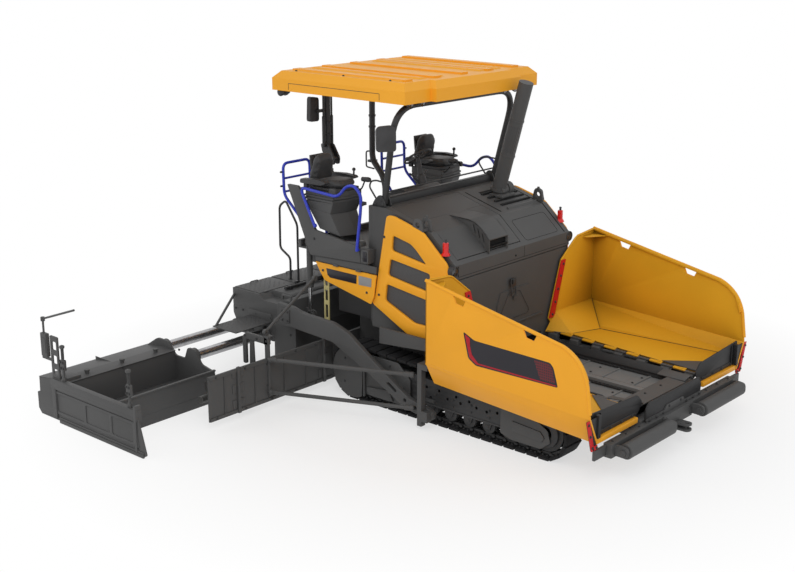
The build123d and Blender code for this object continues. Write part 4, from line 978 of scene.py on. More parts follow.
# Steering desk, wheel and deck tread
def makeDeckFittings():
    addPlate(rounded([(-0.86, 1.622), (-0.7, 1.622), (-0.69, 2.21), (-0.85, 2.2)], 0.02), "y", -0.158, 0.158, 0.012)
    addPlate(rounded([(-0.98, 2.165), (-0.64, 2.21), (-0.64, 2.31), (-0.72, 2.34), (-0.98, 2.24)], 0.02), "y", -0.34,
        0.3, 0.014)
    makePiece("steeringDesk", "chassis", "black_paint display", "control_console")
    for y in (-0.22, 0.18):
        addPlate([(-0.96, 2.246), (-0.74, 2.332), (-0.738, 2.34), (-0.962, 2.254)], "y", y - 0.08, y + 0.08, 0.001)
    makePiece("deskDisplays", "chassis", "display")
    hub = Vector((-0.9, 0.16, 2.64))
    lean = Vector((-0.55, 0, 0.8)).normalized()
    base = Vector((-0.8, 0.13, 2.33))
    addTurned(base, hub - base, [(0, 0.06), (0.09, 0.052), (0.11, 0.034), (0.24, 0.03), (0.32, 0.022)], 18)
    addTube([base + Vector((0, -0.05, 0)), base + Vector((-0.05, -0.11, 0.1)), base + Vector((-0.06, -0.16, 0.13))],
        0.012, 0.03)
    addTube([base + Vector((0, 0.05, 0.08)), base + Vector((-0.04, 0.11, 0.13)), base + Vector((-0.05, 0.16, 0.13))],
        0.01, 0.03)
    first, second = frameAlong(lean)
    rim = [hub + (first * math.cos(t) + second * math.sin(t)) * 0.172
        for t in [math.radians(step * 15) for step in range(24)]]
    addTube(rim, 0.013, 0.01, 12, True, steps=1)
    for t in (90, 210, 330):
        out = first * math.cos(math.radians(t)) + second * math.sin(math.radians(t))
        addTube([hub + out * 0.02 + lean * -0.01, hub + out * 0.166], 0.01, 0.01, 10)
    addTurned(hub - lean * 0.02, lean, [(0, 0.02), (0.01, 0.034), (0.03, 0.034), (0.036, 0.018)], 18)
    addRod(hub + first * 0.14, hub + first * 0.14 + lean * 0.055, 0.018, 16, 0.004)
    makePiece("steeringWheel", "chassis", "black_plastic")


makeConsole()
makeDeckFittings()


def makeTreadItem():
    addRings(*[[(-x, -y, z), (x, -y, z), (x, y, z), (-x, y, z)]
        for x, y, z in ((0.014, 0.003, 0.0), (0.01, 0.001, 0.0022))])
    return makeItem("treadItem")


treadItem = makeTreadItem()


def treadPlaces(x0, x1, y0, y1, z, pitch=0.042):
    places = []
    rows = int((x1 - x0 - 0.03) / pitch)
    columns = int((y1 - y0 - 0.03) / pitch)
    for row in range(rows + 1):
        for column in range(columns + 1):
            lean = math.radians(45 if (row + column) % 2 else -45)
            places.append(((x0 + 0.015 + row * pitch, y0 + 0.015 + column * pitch, z), (0.0, 0.0, lean)))
    return places


deckTread = treadPlaces(-1.68, -0.58, -0.66, 0.66, 1.62)
repeatItem("deckTread", treadItem, deckTread, "chassis", "dark_paint")
print("deck made")


# Roof fittings, posts, hoop, exhaust pillar
roofLook = {"postRadius": 0.038, "hoopRadius": 0.036}


def makeRoof():
    for y in (-0.98, -0.68, -0.38, 0.38, 0.68, 0.98):
        levels = ((0.0, 3.6995), (0.02, 3.716))
        rings = [[(a, b, z) for a, b in box(-1.8 + inset, -0.1 - inset, y - 0.055 + inset, y + 0.055 - inset)]
            for inset, z in levels]
        addRings(*rings, 0.004)
    makePiece("roofRibs", "chassis", "yellow_paint")
    with bothSides():
        y = 1.2005
        addTube([(-1.69, y, 3.5), (-1.69, y, 3.572), (-0.285, y, 3.572), (-0.285, y, 3.5)], 0.0028, 0.003, 6, steps=1)
    addTube([(-1.9605, -1.1, 3.56), (-1.9605, 1.1, 3.56)], 0.0026, 0.003, 6, steps=1)
    makePiece("roofSeams", "chassis", "black_paint")
    addBolts("chassis", (0, 0, 1), *[(x, y, 3.7) for x in (-1.7, -0.95, -0.25) for y in (-1.06, 1.06)])
    with bothSides():
        y = 0.4
        post = [(-1.64, y, 1.62), (-1.64, y, 2.15), (-1.69, y, 2.28), (-1.84, y, 2.44), (-1.86, y, 2.52),
            (-1.86, y, 3.605)]
        addTube(post, roofLook["postRadius"], 0.06, 20)
        addBox((-1.705, -1.575), (y - 0.065, y + 0.065), (1.619, 1.634), 0.004)
        addBox((-1.9, -1.815), (y - 0.05, y + 0.05), (2.425, 2.455), 0.005)
        for z in (2.86, 3.0):
            addTurned((-1.86, y, z), (0, 0, 1), [(0, 0.036), (0.004, 0.046), (0.026, 0.046), (0.03, 0.036)], 20)
    y = 0.4
    addBox((-1.945, -1.775), (y - 0.07, y + 0.07), (3.33, 3.6), 0.01)
    addTube([(-1.89, y, 2.56), (-1.965, y, 2.55), (-1.965, y, 2.35), (-1.83, y, 2.34)], 0.01, 0.03)
    addTube([(-1.78, y, 3.37), (-1.69, y, 3.365), (-1.68, y, 3.29)], 0.009, 0.02)
    y = -0.4
    knee = rounded([(-1.93, 2.76), (-1.8, 2.76), (-1.7, 2.6), (-1.71, 2.52), (-1.765, 2.52), (-1.905, 2.66)], 0.02)
    for low, high in ((-0.052, -0.03), (0.03, 0.052)):
        addPlate(knee, "y", y + low, y + high, 0.003)
    addRod((-1.738, y - 0.06, 2.59), (-1.738, y + 0.06, 2.59), 0.022, 16)
    addRod((-1.86, y - 0.075, 2.76), (-1.86, y + 0.075, 2.76), 0.024, 16)
    makePiece("roofPosts", "chassis", "black_paint", "roof_posts")
    for across, radius in ((-0.075, 0.014), (0.062, 0.012)):
        addRod((-1.85, y + across, 2.73), (-1.85, y + across, 3.59), radius, 14)
        addRod((-1.85, y + across, 2.73), (-1.85, y + across, 3.1), radius + 0.007, 14)
    makePiece("roofSprings", "chassis", "black_paint")
    hoop = [(-0.39, -1.0, 2.33), (-0.155, -1.085, 3.425), (-0.155, 1.085, 3.425), (-0.39, 1.0, 2.33)]
    addTube(hoop, roofLook["hoopRadius"], 0.34, 20, steps=10)
    for y in (-0.5, 0.5):
        addBox((-0.19, -0.12), (y - 0.04, y + 0.04), (3.44, 3.612), 0.006)
    with bothSides():
        foot = rounded([(-0.53, 2.288), (-0.33, 2.288), (-0.345, 2.35), (-0.385, 2.42), (-0.43, 2.42), (-0.5, 2.35)],
            0.02)
        for y in (0.942, 1.04):
            addPlate(foot, "y", y, y + 0.016, 0.004)
        addRod((-0.4, 0.935, 2.36), (-0.4, 1.062, 2.36), 0.016, 16)
        addTube([(-0.5, 1.0, 2.34), (-0.62, 1.0, 2.48), (-0.6, 1.0, 2.545), (-0.52, 1.005, 2.57),
            (-0.345, 1.015, 2.56)], 0.01, 0.05)
    makePiece("roofHoop", "chassis", "black_paint", "roof_hoop")
    pairBolts("chassis", (0, 1, 0), (-0.47, 1.056, 2.32), (-0.36, 1.056, 2.32))
    foot, head = Vector((-0.045, 0.65, 2.255)), Vector((0.322, 0.65, 3.579))
    run = head - foot
    addTube([foot, head], 0.086, 0.01, 28, steps=1)
    for share, radius in ((0.02, 0.104), (0.34, 0.091), (0.66, 0.091)):
        middle = foot.lerp(head, share)
        addTurned(middle - run.normalized() * 0.012, run, [(0, 0.084), (0.003, radius), (0.022, radius),
            (0.026, 0.084)], 28)
    addBox((-0.17, 0.11), (0.52, 0.78), (2.205, 2.24), 0.008)
    addTurned((-0.02, 0.6, 2.275), (0, 1, 0), [(0, 0.076), (0.125, 0.076), (0.127, 0.06), (0.139, 0.06), (0.141, 0.082),
        (0.225, 0.082), (0.232, 0.07)], 28)
    makePiece("exhaustPillar", "chassis", "dark_paint", "exhaust_pillar")
    addTube([foot.lerp(head, 0.38), foot.lerp(head, 0.62)], 0.0875, 0.01, 28, steps=1)
    makePiece("exhaustGuard", "chassis", "screen")


makeRoof()


# Lamps, beacons and mirrors
def addLamp(place, direction, radius, depth):
    profile = [(-depth, radius * 0.45), (-depth * 0.9, radius * 0.62), (-depth * 0.35, radius * 0.96), (-0.004, radius),
        (0.0, radius * 0.96), (-0.004, radius * 0.86)]
    addTurned(place, direction, profile, 24)
    addTurned(Vector(place) - Vector(direction).normalized() * 0.004, direction,
        [(-0.004, radius * 0.87), (0.0, radius * 0.86), (0.004, radius * 0.6), (0.005, 0.004)], 24, 1)


def makeLamps():
    with bothSides():
        place = Vector((0.7, 1.085, 1.742))
        addTurned(place - Vector((0.06, 0, 0)), (1, 0, 0), [(0, 0.05), (0.004, 0.06), (0.06, 0.062), (0.066, 0.06),
            (0.066, 0.053), (0.054, 0.051)], 28)
        addTurned(place - Vector((0.006, 0, 0)), (1, 0, 0), [(0.0, 0.052), (0.006, 0.05), (0.01, 0.02), (0.01, 0.004)],
            24, 1)
        for across in (-0.022, 0.0, 0.022):
            addRod(place + Vector((0.004, across, -0.048)), place + Vector((0.004, across, 0.048)), 0.003, 8)
        for y in (1.06, 1.13):
            addLamp((-1.905, y, 3.445), (-1, 0, -0.25), 0.046, 0.08)
        addBox((-1.875, -1.85), (1.07, 1.12), (3.47, 3.6), 0.004)
        for y in (0.75, 0.95):
            addLamp((-0.04, y, 3.45), (1, 0, -0.3), 0.046, 0.08)
            addBox((-0.085, -0.065), (y - 0.012, y + 0.012), (3.47, 3.605), 0.004)
    makePiece("workLamps", "chassis", "black_plastic display", "lamps")
    foot = Vector((0.5625, 1.079, 1.905))
    with bothSides():
        addTurned(foot - Vector((0, 0, 0.006)), (0, 0, 1), [(0, 0.052), (0.01, 0.05), (0.03, 0.037), (0.036, 0.0325),
            (0.134, 0.0325), (0.14, 0.028), (0.141, 0.006)], 8)
    makePiece("beaconLenses", "chassis", "red_lens", "beacons")
    with bothSides():
        addTurned(foot + Vector((0, 0, 0.132)), (0, 0, 1), [(0, 0.013), (0.03, 0.013), (0.033, 0.016), (0.042, 0.014),
            (0.045, 0.004)], 14)
    makePiece("beaconStubs", "chassis", "black_plastic")
    with bothSides():
        outline = rounded([(-0.112, -0.135), (-0.108, 0.12), (-0.06, 0.15), (0.085, 0.14), (0.112, 0.105),
            (0.108, -0.135)], 0.035)
        addPlate(outline, "x", -0.022, 0.022, 0.014)
        addPlate([(a * 0.88, b * 0.88) for a, b in outline], "x", -0.0265, -0.021, 0.001, 1)
        turn = Matrix.Translation((-0.19, 1.2, 3.09)) @ Matrix.Rotation(math.radians(33), 4, "Z")
        drawn["mesh"].transform(turn)
    with bothSides():
        addTube([(-0.17, 1.18, 3.15), (-0.2, 1.13, 3.165), (-0.215, 1.085, 3.15)], 0.01, 0.03)
    makePiece("mirrors", "chassis", "black_plastic mirror", "mirrors")
    outline = rounded([(-0.655, 3.045), (-0.5, 3.04), (-0.5, 3.325), (-0.64, 3.345)], 0.03)
    addPlate(outline, "x", -1.96, -1.9, 0.012)
    addBox((-1.9, -1.85), (-0.555, -0.435), (3.15, 3.185), 0.005)
    makePiece("postSpeaker", "chassis", "black_plastic")


makeLamps()
print("roof made")


# Hopper wings: rolled top edge, folded floor, rear plate with its gusset, hinge knuckles
wingLook = {"roll": 0.019, "edge": 0.004, "panelDepth": 0.002, "hingeFall": 0.048, "knuckles": 6, "knucklePitch": 0.3}


def hingeZ(x):
    return 0.66 - (x - 0.722) * wingLook["hingeFall"]


def wingCorner(steps=12):
    start, middle, end = (2.748, 1.075), (2.69, 1.335), (2.44, 1.424)
    points = []
    for step in range(steps + 1):
        t = step / steps
        points.append(tuple(start[k] * (1 - t) ** 2 + middle[k] * 2 * t * (1 - t) + end[k] * t * t for k in (0, 1)))
    return points


def makeWing():
    body = "wing_*"
    edge = wingLook["edge"]
    outline = [(0.722, 0.85), (2.79, 0.745)] + wingCorner() + [(0.722, 1.762)]
    notches = []
    for x in (1.1, 1.99):
        z = 1.762 - (x - 0.722) * 0.196
        notches.append(rounded([(x - 0.01, z - 0.024), (x + 0.15, z - 0.055), (x + 0.118, z - 0.118),
            (x + 0.024, z - 0.1)], 0.006))
    addPierced([outline] + notches, "y", 1.58, 1.6, edge)
    roll = [(0.716, 1.59, 1.758)] + [(x - 0.004, 1.59, z - 0.004)
        for x, z in reversed(wingCorner())] + [(2.784, 1.59, 0.8)]
    addTube(roll, wingLook["roll"], 0.001, 14, steps=1)
    addPierced([outline[3:-1] + [(0.722, 1.762), (0.722, 1.74), (2.432, 1.403), (2.55, 1.352), (2.652, 1.262),
        (2.722, 1.075)]], "y", 1.556, 1.582, 0.002)
    rings = []
    for x, bend, foot in ((0.722, 0.85, 0.58), (2.79, 0.745, 0.45)):
        rings.append([(x, 1.6, bend + 0.004), (x, 1.45, foot), (x, 1.435, foot + 0.016), (x, 1.575, bend + 0.004)])
    addRings(rings[0], rings[1], edge)
    rings = []
    for x, fold, outer, rise in ((0.722, 1.14, 1.595, 0.19), (2.73, 1.48, 1.532, 0.072)):
        low = hingeZ(x)
        plan = [(outer, low + rise), (fold, low + 0.034), (0.716, low + 0.03), (0.716, low + 0.012),
            (fold, low + 0.014), (outer, low + rise - 0.02)]
        rings.append([(x, y, z) for y, z in plan])
    addRings(rings[0], rings[1], 0.002)
    rear = [(1.6, 0.84), (1.6, 1.762), (1.54, 1.765), (1.22, 1.74), (1.17, 1.712), (0.87, 1.49), (0.65, 0.82),
        (0.76, 0.685), (1.3, 0.695)]
    addPlate(rear, "x", 0.722, 0.737, edge)
    addTube([(0.732, 0.874, 1.49), (0.732, 1.195, 1.728), (0.732, 1.56, 1.752)], 0.012, 0.06, 12)
    corner = [(0.736, 0.785, 0.88), (1.02, 0.72, 0.676), (1.17, 1.11, 0.676), (0.736, 1.585, 0.862)]
    addRings(corner, [(x - 0.01, y, z - 0.01) for x, y, z in corner], 0.001)
    ear = [(0.736, 0.6, 0.676), corner[0], corner[1]]
    addRings(ear, [(x - 0.006, y, z - 0.008) for x, y, z in ear], 0.001)
    shelf = [(0.736, 1.582), (0.736, 1.31), (0.79, 1.36), (0.85, 1.45), (0.94, 1.582)]
    addPlate(shelf, "z", 1.69, 1.698, 0.002)
    endPlate = [(0.72, 0.48), (0.72, 0.59), (1.3, 0.6), (1.53, 0.64), (1.462, 0.48)]
    addPlate(endPlate, "x", 2.715, 2.732, 0.003)
    addBox((2.72, 2.785), (0.68, 1.44), (0.445, 0.505), 0.012)
    for number in range(wingLook["knuckles"]):
        x = 0.9 + number * wingLook["knucklePitch"]
        addRod((x + 0.004, 0.68, hingeZ(x) + 0.013), (x + 0.161, 0.68, hingeZ(x + 0.15) + 0.013), 0.014, 18, 0.002)
        addPlate([(0.684, hingeZ(x) + 0.01), (0.684, hingeZ(x) + 0.026), (0.73, hingeZ(x) + 0.03),
            (0.73, hingeZ(x) + 0.012)], "x", x + 0.006, x + 0.159, 0.001)
    sheets = makePiece("wingSheet_*", body, "yellow_paint inner_yellow", body)
    # Faces turned into the hopper take inner_yellow, with its painted corner shade
    for sheet, side in zip(sheets, (1, -1)):
        for face in sheet.data.polygons:
            inward = face.normal.y * side < -0.2 or face.normal.z > 0.3 or face.normal.x > 0.5
            if inward and face.center.y * side < 1.5805 and 0.721 < face.center.x < 2.714:
                face.material_index = 1

    # Bare panel: dark middle, deep red band on the left and below, dark red mesh on the right
    face = 1.6 + wingLook["panelDepth"]
    panel = rounded([(1.23, 1.31), (1.375, 1.245), (2.31, 1.222), (2.352, 1.18), (2.412, 0.988), (1.4, 0.98),
        (1.3, 1.04)], 0.022)
    addPlate(panel, "y", 1.598, face, 0.0008, 0)
    band = [(1.252, 1.288), (1.318, 1.256), (1.322, 1.18), (1.346, 1.09), (1.43, 1.012), (2.33, 1.008), (2.392, 1.006),
        (2.392, 0.996), (1.405, 0.996), (1.316, 1.052)]
    addPlate(rounded(band, 0.01), "y", face - 0.001, face + 0.001, 0.0004, 1)
    screen = [(2.12, 1.212), (2.296, 1.208), (2.336, 1.172), (2.38, 1.024), (2.2, 1.024)]
    addPlate(rounded(screen, 0.012), "y", face - 0.001, face + 0.0006, 0.0004, 2)
    makePiece("wingPanel_*", body, "dark_panel deep_red red_screen")

    # Seams where the folds meet
    foldFront = (2.715, 1.478, hingeZ(2.715) + 0.0355)
    joints = ((corner[2], foldFront), (corner[2], (0.745, 1.574, 0.866)), (corner[1], corner[2]),
        (corner[1], (0.745, 0.608, 0.682)), ((0.9, 0.706, 0.683), (2.7, 0.706, 0.597)))
    for start, end in joints:
        addRod(start, end, 0.0026, 6, 0.0004)
    makePiece("wingSeams_*", body, "black_rubber")

    # Red wear strip, hinge pins, end marker in red and the front flap
    strip = [(0.87, 1.492), (0.962, 1.492), (0.76, 0.822), (0.655, 0.822)]
    addPlate(strip, "x", 0.737, 0.749, 0.002)
    makePiece("wingStrip_*", body, "red_rubber", "wing_strip_*")
    pairBolts(body, (1, 0, 0), *[(0.749, 0.708 + 0.208 * t, 0.84 + 0.63 * t) for t in (0.03, 0.26, 0.5, 0.74, 0.96)])
    flap = rounded([(1.5, 0.768), (0.646, 0.722), (0.566, 0.64), (0.566, 0.602), (0.66, 0.509), (1.443, 0.509)], 0.012)
    addPlate(flap, "x", 2.733, 2.749, 0.004)
    addTube([(2.741, 1.49, 0.766), (2.741, 0.65, 0.721), (2.741, 0.572, 0.64)], 0.009, 0.03, 10)
    addTube([(2.75, 1.42, 0.555), (2.75, 0.69, 0.545)], 0.006, 0.02, 10)
    addBox((2.749, 2.8), (1.405, 1.45), (0.512, 0.752), 0.004)
    addBox((2.749, 2.766), (1.35, 1.362), (0.52, 0.745), 0.002)
    marker = [(1.447, 0.408), (1.542, 0.408), (1.64, 0.735), (1.447, 0.735)]
    addPlate(marker, "x", 2.772, 2.782, 0.002)
    makePiece("wingFlap_*", body, "black_rubber", "wing_flap_*")
    addPlate([(1.594, 0.738), (1.648, 0.738), (1.548, 0.402), (1.494, 0.402)], "x", 2.782, 2.792)
    addPlate([(1.442, 0.402), (1.52, 0.402), (1.536, 0.448), (1.442, 0.448)], "x", 2.782, 2.792)
    makePiece("wingMarker_*", body, "red_rubber")
    pairBolts(body, (1, 0, 0), *[(2.792, y, z) for y, z in ((1.46, 0.425), (1.535, 0.44), (1.578, 0.57), (1.615, 0.7))])
    pairBolts(body, (1, 0, 0), *[(2.749, y, 0.535) for y in (0.75, 0.95, 1.15, 1.35)])
    triangle = [(2.24, 0.712), (2.712, 0.712), (2.712, 1.15)]
    addRings([(x, y, hingeZ(x) + 0.034) for x, y in triangle], [(x, y, hingeZ(x) + 0.042) for x, y in triangle], 0.001)
    makePiece("wingCornerPlate_*", body, "dark_paint")


makeWing()


# Conveyor: chains, slats and bolted plates between raised guards
def makeConveyor():
    with bothSides():
        guard = [(0.548, 0.5), (0.64, 0.5), (0.64, 0.53), (0.574, 0.53), (0.6, 0.594), (0.586, 0.6), (0.548, 0.522)]
        addPlate(guard, "x", 0.715, 2.29, 0.003)
        low = [(2.286, y, z) for y, z in guard]
        high = [(2.455, y, 0.5 + (z - 0.5) * (0.3 if z > 0.53 else 1)) for y, z in guard]
        addRings(low, high, 0.002)
        addBox((2.45, 2.68), (0.548, 0.64), (0.5, 0.53), 0.004)
        for number in range(7):
            x = 0.77 + number * 0.3
            low = hingeZ(x)
            lug = [(0.612, 0.525), (0.612, low - 0.006), (0.662, low + 0.016), (0.7, low + 0.004), (0.7, low - 0.02),
                (0.634, 0.525)]
            addPlate(lug, "x", x, x + 0.11, 0.003, 1)
            addRod((x - 0.008, 0.68, low + 0.013), (x + 0.134, 0.68, hingeZ(x + 0.126) + 0.013), 0.014, 18, 0.002, 1)
            addBox((x - 0.006, x + 0.132), (0.64, 0.682), (low + 0.012, low + 0.024), 0.002, 1)
    makePiece("hopperGuards", "chassis", "black_paint dark_paint", "hopper_floor")
    with bothSides():
        plan = [(2.335, 0.6, 0.578), (2.335, 0.455, 0.552), (2.69, 0.43, 0.56), (2.69, 0.56, 0.59)]
        addRings(plan, [(x, y, z + 0.008) for x, y, z in plan], 0.001)
    makePiece("hopperNosePlates", "chassis", "dark_paint")
    with bothSides():
        addBox((-1.08, 2.6), (0.04, 0.54), (0.47, 0.484), 0.002)
        for x in (-0.6, 0.3, 1.2, 2.1):
            addBox((x - 0.002, x + 0.002), (0.1, 0.495), (0.4835, 0.485), 0.0)
    addBox((-1.08, 2.6), (-0.04, 0.04), (0.47, 0.53), 0.006)
    addRod((-1.04, -0.599, 0.4), (-1.04, 0.599, 0.4), 0.066, 32, 0.004)
    for y in (-0.516, -0.08, 0.08, 0.516):
        for number in range(10):
            angle = number * math.pi / 5
            middle = Vector((-1.04 + 0.07 * math.cos(angle), y, 0.4 + 0.07 * math.sin(angle)))
            addRod(middle - Vector((0, 0.008, 0)), middle + Vector((0, 0.008, 0)), 0.014, 8, 0.002)
    # The conveyor floor takes the paler steel, painted light on the shaded lane
    makePiece("conveyorFloor", "chassis", "steel_with_painted_light", "conveyor")
    for linkY in (-0.014, 0.014):
        addPlate(rounded([(-0.034, 0.0), (-0.034, 0.022), (0.034, 0.022), (0.034, 0.0)], 0.009, 3), "y", linkY - 0.003,
            linkY + 0.003, 0.001)
    addRod((-0.022, -0.017, 0.011), (-0.022, 0.017, 0.011), 0.008, 10)
    addRod((0.022, -0.02, 0.011), (0.022, 0.02, 0.011), 0.006, 10)
    chain = makeItem("chainItem")
    addPlate([(-0.012, 0.0), (-0.009, 0.013), (0.009, 0.013), (0.012, 0.0)], "y", -0.205, 0.205, 0.002)
    slat = makeItem("slatItem")
    flat = (0.0, 0.0, 0.0)
    chainPlaces = [((-1.03 + number * 0.052, y, 0.485), flat) for y in (0.08, 0.516, -0.08, -0.516)
        for number in range(67)]
    slatPlaces = [((-0.97 + number * 0.4, y, 0.484), flat) for y in (0.298, -0.298) for number in range(9)]
    repeatItem("conveyorChains", chain, chainPlaces, "chassis", "black_paint")
    # The slats take the same paler steel, painted light on the shaded lane
    repeatItem("conveyorSlats", slat, slatPlaces, "chassis", "steel_with_painted_light")
    bpy.data.objects.remove(chain)
    bpy.data.objects.remove(slat)
    addBolts("chassis", (0, 0, 1), *[(x, y, 0.484) for x in (1.1, 1.64, 2.18) for y in (0.2, 0.4, -0.2, -0.4)])
    addBolts("chassis", (0, 0, 1), *[(2.55, y, 0.557) for y in (-0.48, -0.16, 0.16, 0.48)])
    with bothSides():
        addBox((0.7, 0.717), (0.04, 0.556), (0.905, 0.925), 0.003)
    makePiece("mouthTrim", "chassis", "dark_paint")


makeConveyor()


# Push beam: bolted cross beam, hook plates with a pin, round rollers in rounded brackets
def makePushBeam():
    addBox((2.66, 2.78), (-0.62, 0.62), (0.28, 0.44), 0.008)
    addBox((2.76, 2.86), (-1.29, 1.29), (0.265, 0.415), 0.01)
    addBox((2.86, 2.868), (-0.3, 0.3), (0.262, 0.418), 0.003)
    with bothSides():
        for y in (0.28, 1.212):
            bracket = rounded([(2.84, 0.29), (2.84, 0.395), (2.93, 0.405), (3.01, 0.392), (3.018, 0.33), (2.99, 0.286)],
                0.03, 6)
            addPlate(bracket, "y", y, y + 0.028, 0.004)
        addRod((2.96, 0.27, 0.34), (2.96, 1.25, 0.34), 0.02, 20)
        for y in (0.266, 1.24):
            addRod((2.96, y, 0.34), (2.96, y + 0.014, 0.34), 0.034, 6, 0.002)
        addBox((2.77, 2.8), (1.29, 1.5), (0.29, 0.398), 0.006)
        brace = [(2.79, 0.3), (2.86, 0.3), (2.86, 0.25), (2.82, 0.235), (2.79, 0.25)]
        addPlate(brace, "y", 0.62, 0.64, 0.003)
    for z in (0.205, 0.265):
        nose = [(2.78, -0.06), (2.78, 0.06)] + [(2.98 + 0.045 * math.cos(t), 0.058 * math.sin(t))
            for t in [math.radians(80 - step * 16) for step in range(11)]]
        ring = circle(2.98, 0.0, 0.02)
        addPierced([nose, ring], "z", z, z + 0.022, 0.003)
    addBox((2.78, 2.86), (-0.06, 0.06), (0.205, 0.3), 0.006)
    clamp = [(-0.57, 0.41), (0.57, 0.41), (0.57, 0.452), (0.21, 0.452), (0.17, 0.5), (-0.17, 0.5), (-0.21, 0.452),
        (-0.57, 0.452)]
    addPlate(rounded(clamp, 0.008), "x", 2.809, 2.821, 0.003)
    makePiece("pushBeam", "chassis", "dark_paint", "push_beam")
    addBolts("chassis", (1, 0, 0), *[(2.821, y, 0.431) for y in (-0.52, -0.38, -0.24, 0.24, 0.38, 0.52)],
        (2.821, -0.12, 0.478), (2.821, 0.12, 0.478))
    addBolts("chassis", (1, 0, 0), *[(2.868, y, z) for y in (-0.25, 0.25) for z in (0.3, 0.38)])
    addBolts("chassis", (0, 0, 1), *[(2.81, y, 0.415) for y in (-1.2, -0.95, -0.7, 0.7, 0.95, 1.2)])
    flap = rounded([(-0.573, 0.418), (0.573, 0.418), (0.573, 0.558), (0.518, 0.616), (-0.518, 0.616), (-0.573, 0.558)],
        0.014)
    addPlate(flap, "x", 2.793, 2.809, 0.004)
    addTube([(2.801, -0.568, 0.43), (2.801, -0.568, 0.558), (2.801, -0.516, 0.612), (2.801, 0.516, 0.612),
        (2.801, 0.568, 0.558), (2.801, 0.568, 0.43)], 0.01, 0.02, 10)
    makePiece("centreFlap", "chassis", "black_rubber", "centre_flap")
    long = 0.88
    profile = [(0, 0.024), (0, 0.06), (0.003, 0.074), (0.01, 0.08), (long - 0.01, 0.08), (long - 0.003, 0.074),
        (long, 0.06), (long, 0.024)]
    addTurned((2.96, 0.32, 0.34), (0, 1, 0), profile, 48, 0, True)
    makePiece("pushRoller_*", "push_roller_*", "dark_paint", "push_roller_*")


makePushBeam()


# Hopper back wall: hatch seam, latch with its handle
def makeWallFittings():
    hatch = [(-0.32, 1.01), (-0.13, 1.3), (0.085, 1.29), (0.265, 1.03), (0.24, 0.985), (-0.3, 0.985), (-0.32, 1.01)]
    addTube([(0.7195, y, z) for y, z in hatch], 0.0022, 0.02, 6)
    makePiece("wallSeam", "chassis", "black_rubber")
    addBox((0.716, 0.732), (-0.112, -0.008), (1.37, 1.462), 0.006)
    addBox((0.732, 0.748), (-0.088, -0.03), (1.402, 1.456), 0.006)
    addTube([(0.724, -0.096, 1.372), (0.738, -0.096, 1.262), (0.738, -0.018, 1.262), (0.724, -0.018, 1.372)], 0.007,
        0.012, 10)
    makePiece("wallLatch", "chassis", "black_paint")


makeWallFittings()
print("hopper made")


# Tow arms: thick plates with an edge bevel, a slot and two marks at the pin end
def makeTowArms():
    arm = [(-1.78, 0.985), (-1.51, 0.97), (-1.36, 0.93), (-0.85, 0.915), (-0.61, 0.84), (-0.3, 0.64), (0.31, 0.28),
        (0.6, 0.225), (0.665, 0.2), (0.665, 0.12), (0.6, 0.095), (0.24, 0.16), (-0.37, 0.47), (-0.61, 0.57),
        (-0.86, 0.68), (-1.51, 0.715), (-1.78, 0.715)]
    slot = rounded([(-0.03, 0.385), (0.015, 0.4), (0.13, 0.33), (0.105, 0.3)], 0.015)
    marks = [circle(0.25, 0.245, 0.022, 18), circle(0.4, 0.195, 0.022, 18)]
    with bothSides():
        addPierced([rounded(arm, 0.04), slot] + marks, "y", 1.33, 1.39, 0.008)
        addBox((-1.78, -1.64), (1.25, 1.335), (0.715, 0.8), 0.006)
        addRod((0.6, 1.388, 0.16), (0.6, 1.404, 0.16), 0.062, 28, 0.005)
        addRod((0.6, 1.402, 0.16), (0.6, 1.416, 0.16), 0.03, 6, 0.003)
        addBox((-1.7, -1.56), (1.39, 1.402), (0.76, 0.93), 0.006)
    makePiece("towArms", "screed", "dark_paint", "tow_arms")
    pairBolts("screed", (0, 1, 0), *[(x, 1.402, z) for x in (-1.675, -1.585) for z in (0.79, 0.9)])


makeTowArms()


# Screed lift cylinders: barrel with end caps and hose ports, chrome rod and round eyes
def makeLift():
    top, eye, down = Vector((-1.49, 1.11, 1.715)), Vector((-1.49, 1.11, 0.815)), Vector((0, 0, -1))
    addTurned(top + down * 0.045, down, [(0, 0.03), (0.004, 0.04), (0.02, 0.04), (0.024, 0.037), (0.43, 0.037),
        (0.434, 0.043), (0.5, 0.043), (0.505, 0.036), (0.505, 0.026)], 28)
    addCollar(top - Vector((0, 0.022, 0)), (0, 1, 0), 0.0226, 0.051, 0.044)
    for distance in (0.09, 0.44):
        port = top + down * distance
        addRod(port + Vector((0.03, 0, 0)), port + Vector((0.062, 0, 0)), 0.013, 6, 0.002)
    makePiece("liftBarrel_*", "lift_barrel_*", "dark_paint", "lift_barrel_*")
    addRod(top + down * 0.38, eye - down * 0.046, 0.022, 24, 0.002)
    makePiece("liftRod_*", "lift_rod_*", "chrome_rod", "lift_rod_*")
    addCollar(eye - Vector((0, 0.018, 0)), (0, 1, 0), 0.0385, 0.057, 0.036)
    addTurned(eye - down * 0.064, down, [(0, 0.026), (0.003, 0.03), (0.012, 0.03), (0.016, 0.026)], 20)
    makePiece("liftEye_*", "lift_rod_*", "dark_paint")


makeLift()


# Augers: one continuous screw a side on a round shaft, blades with a raised rim
auger = {"x": -1.4, "z": 0.275, "shaft": 0.042, "radius": 0.176, "pitch": 0.36, "start": 0.13, "end": 2.86,
    "gap": (2.01, 2.23), "thick": 0.006}


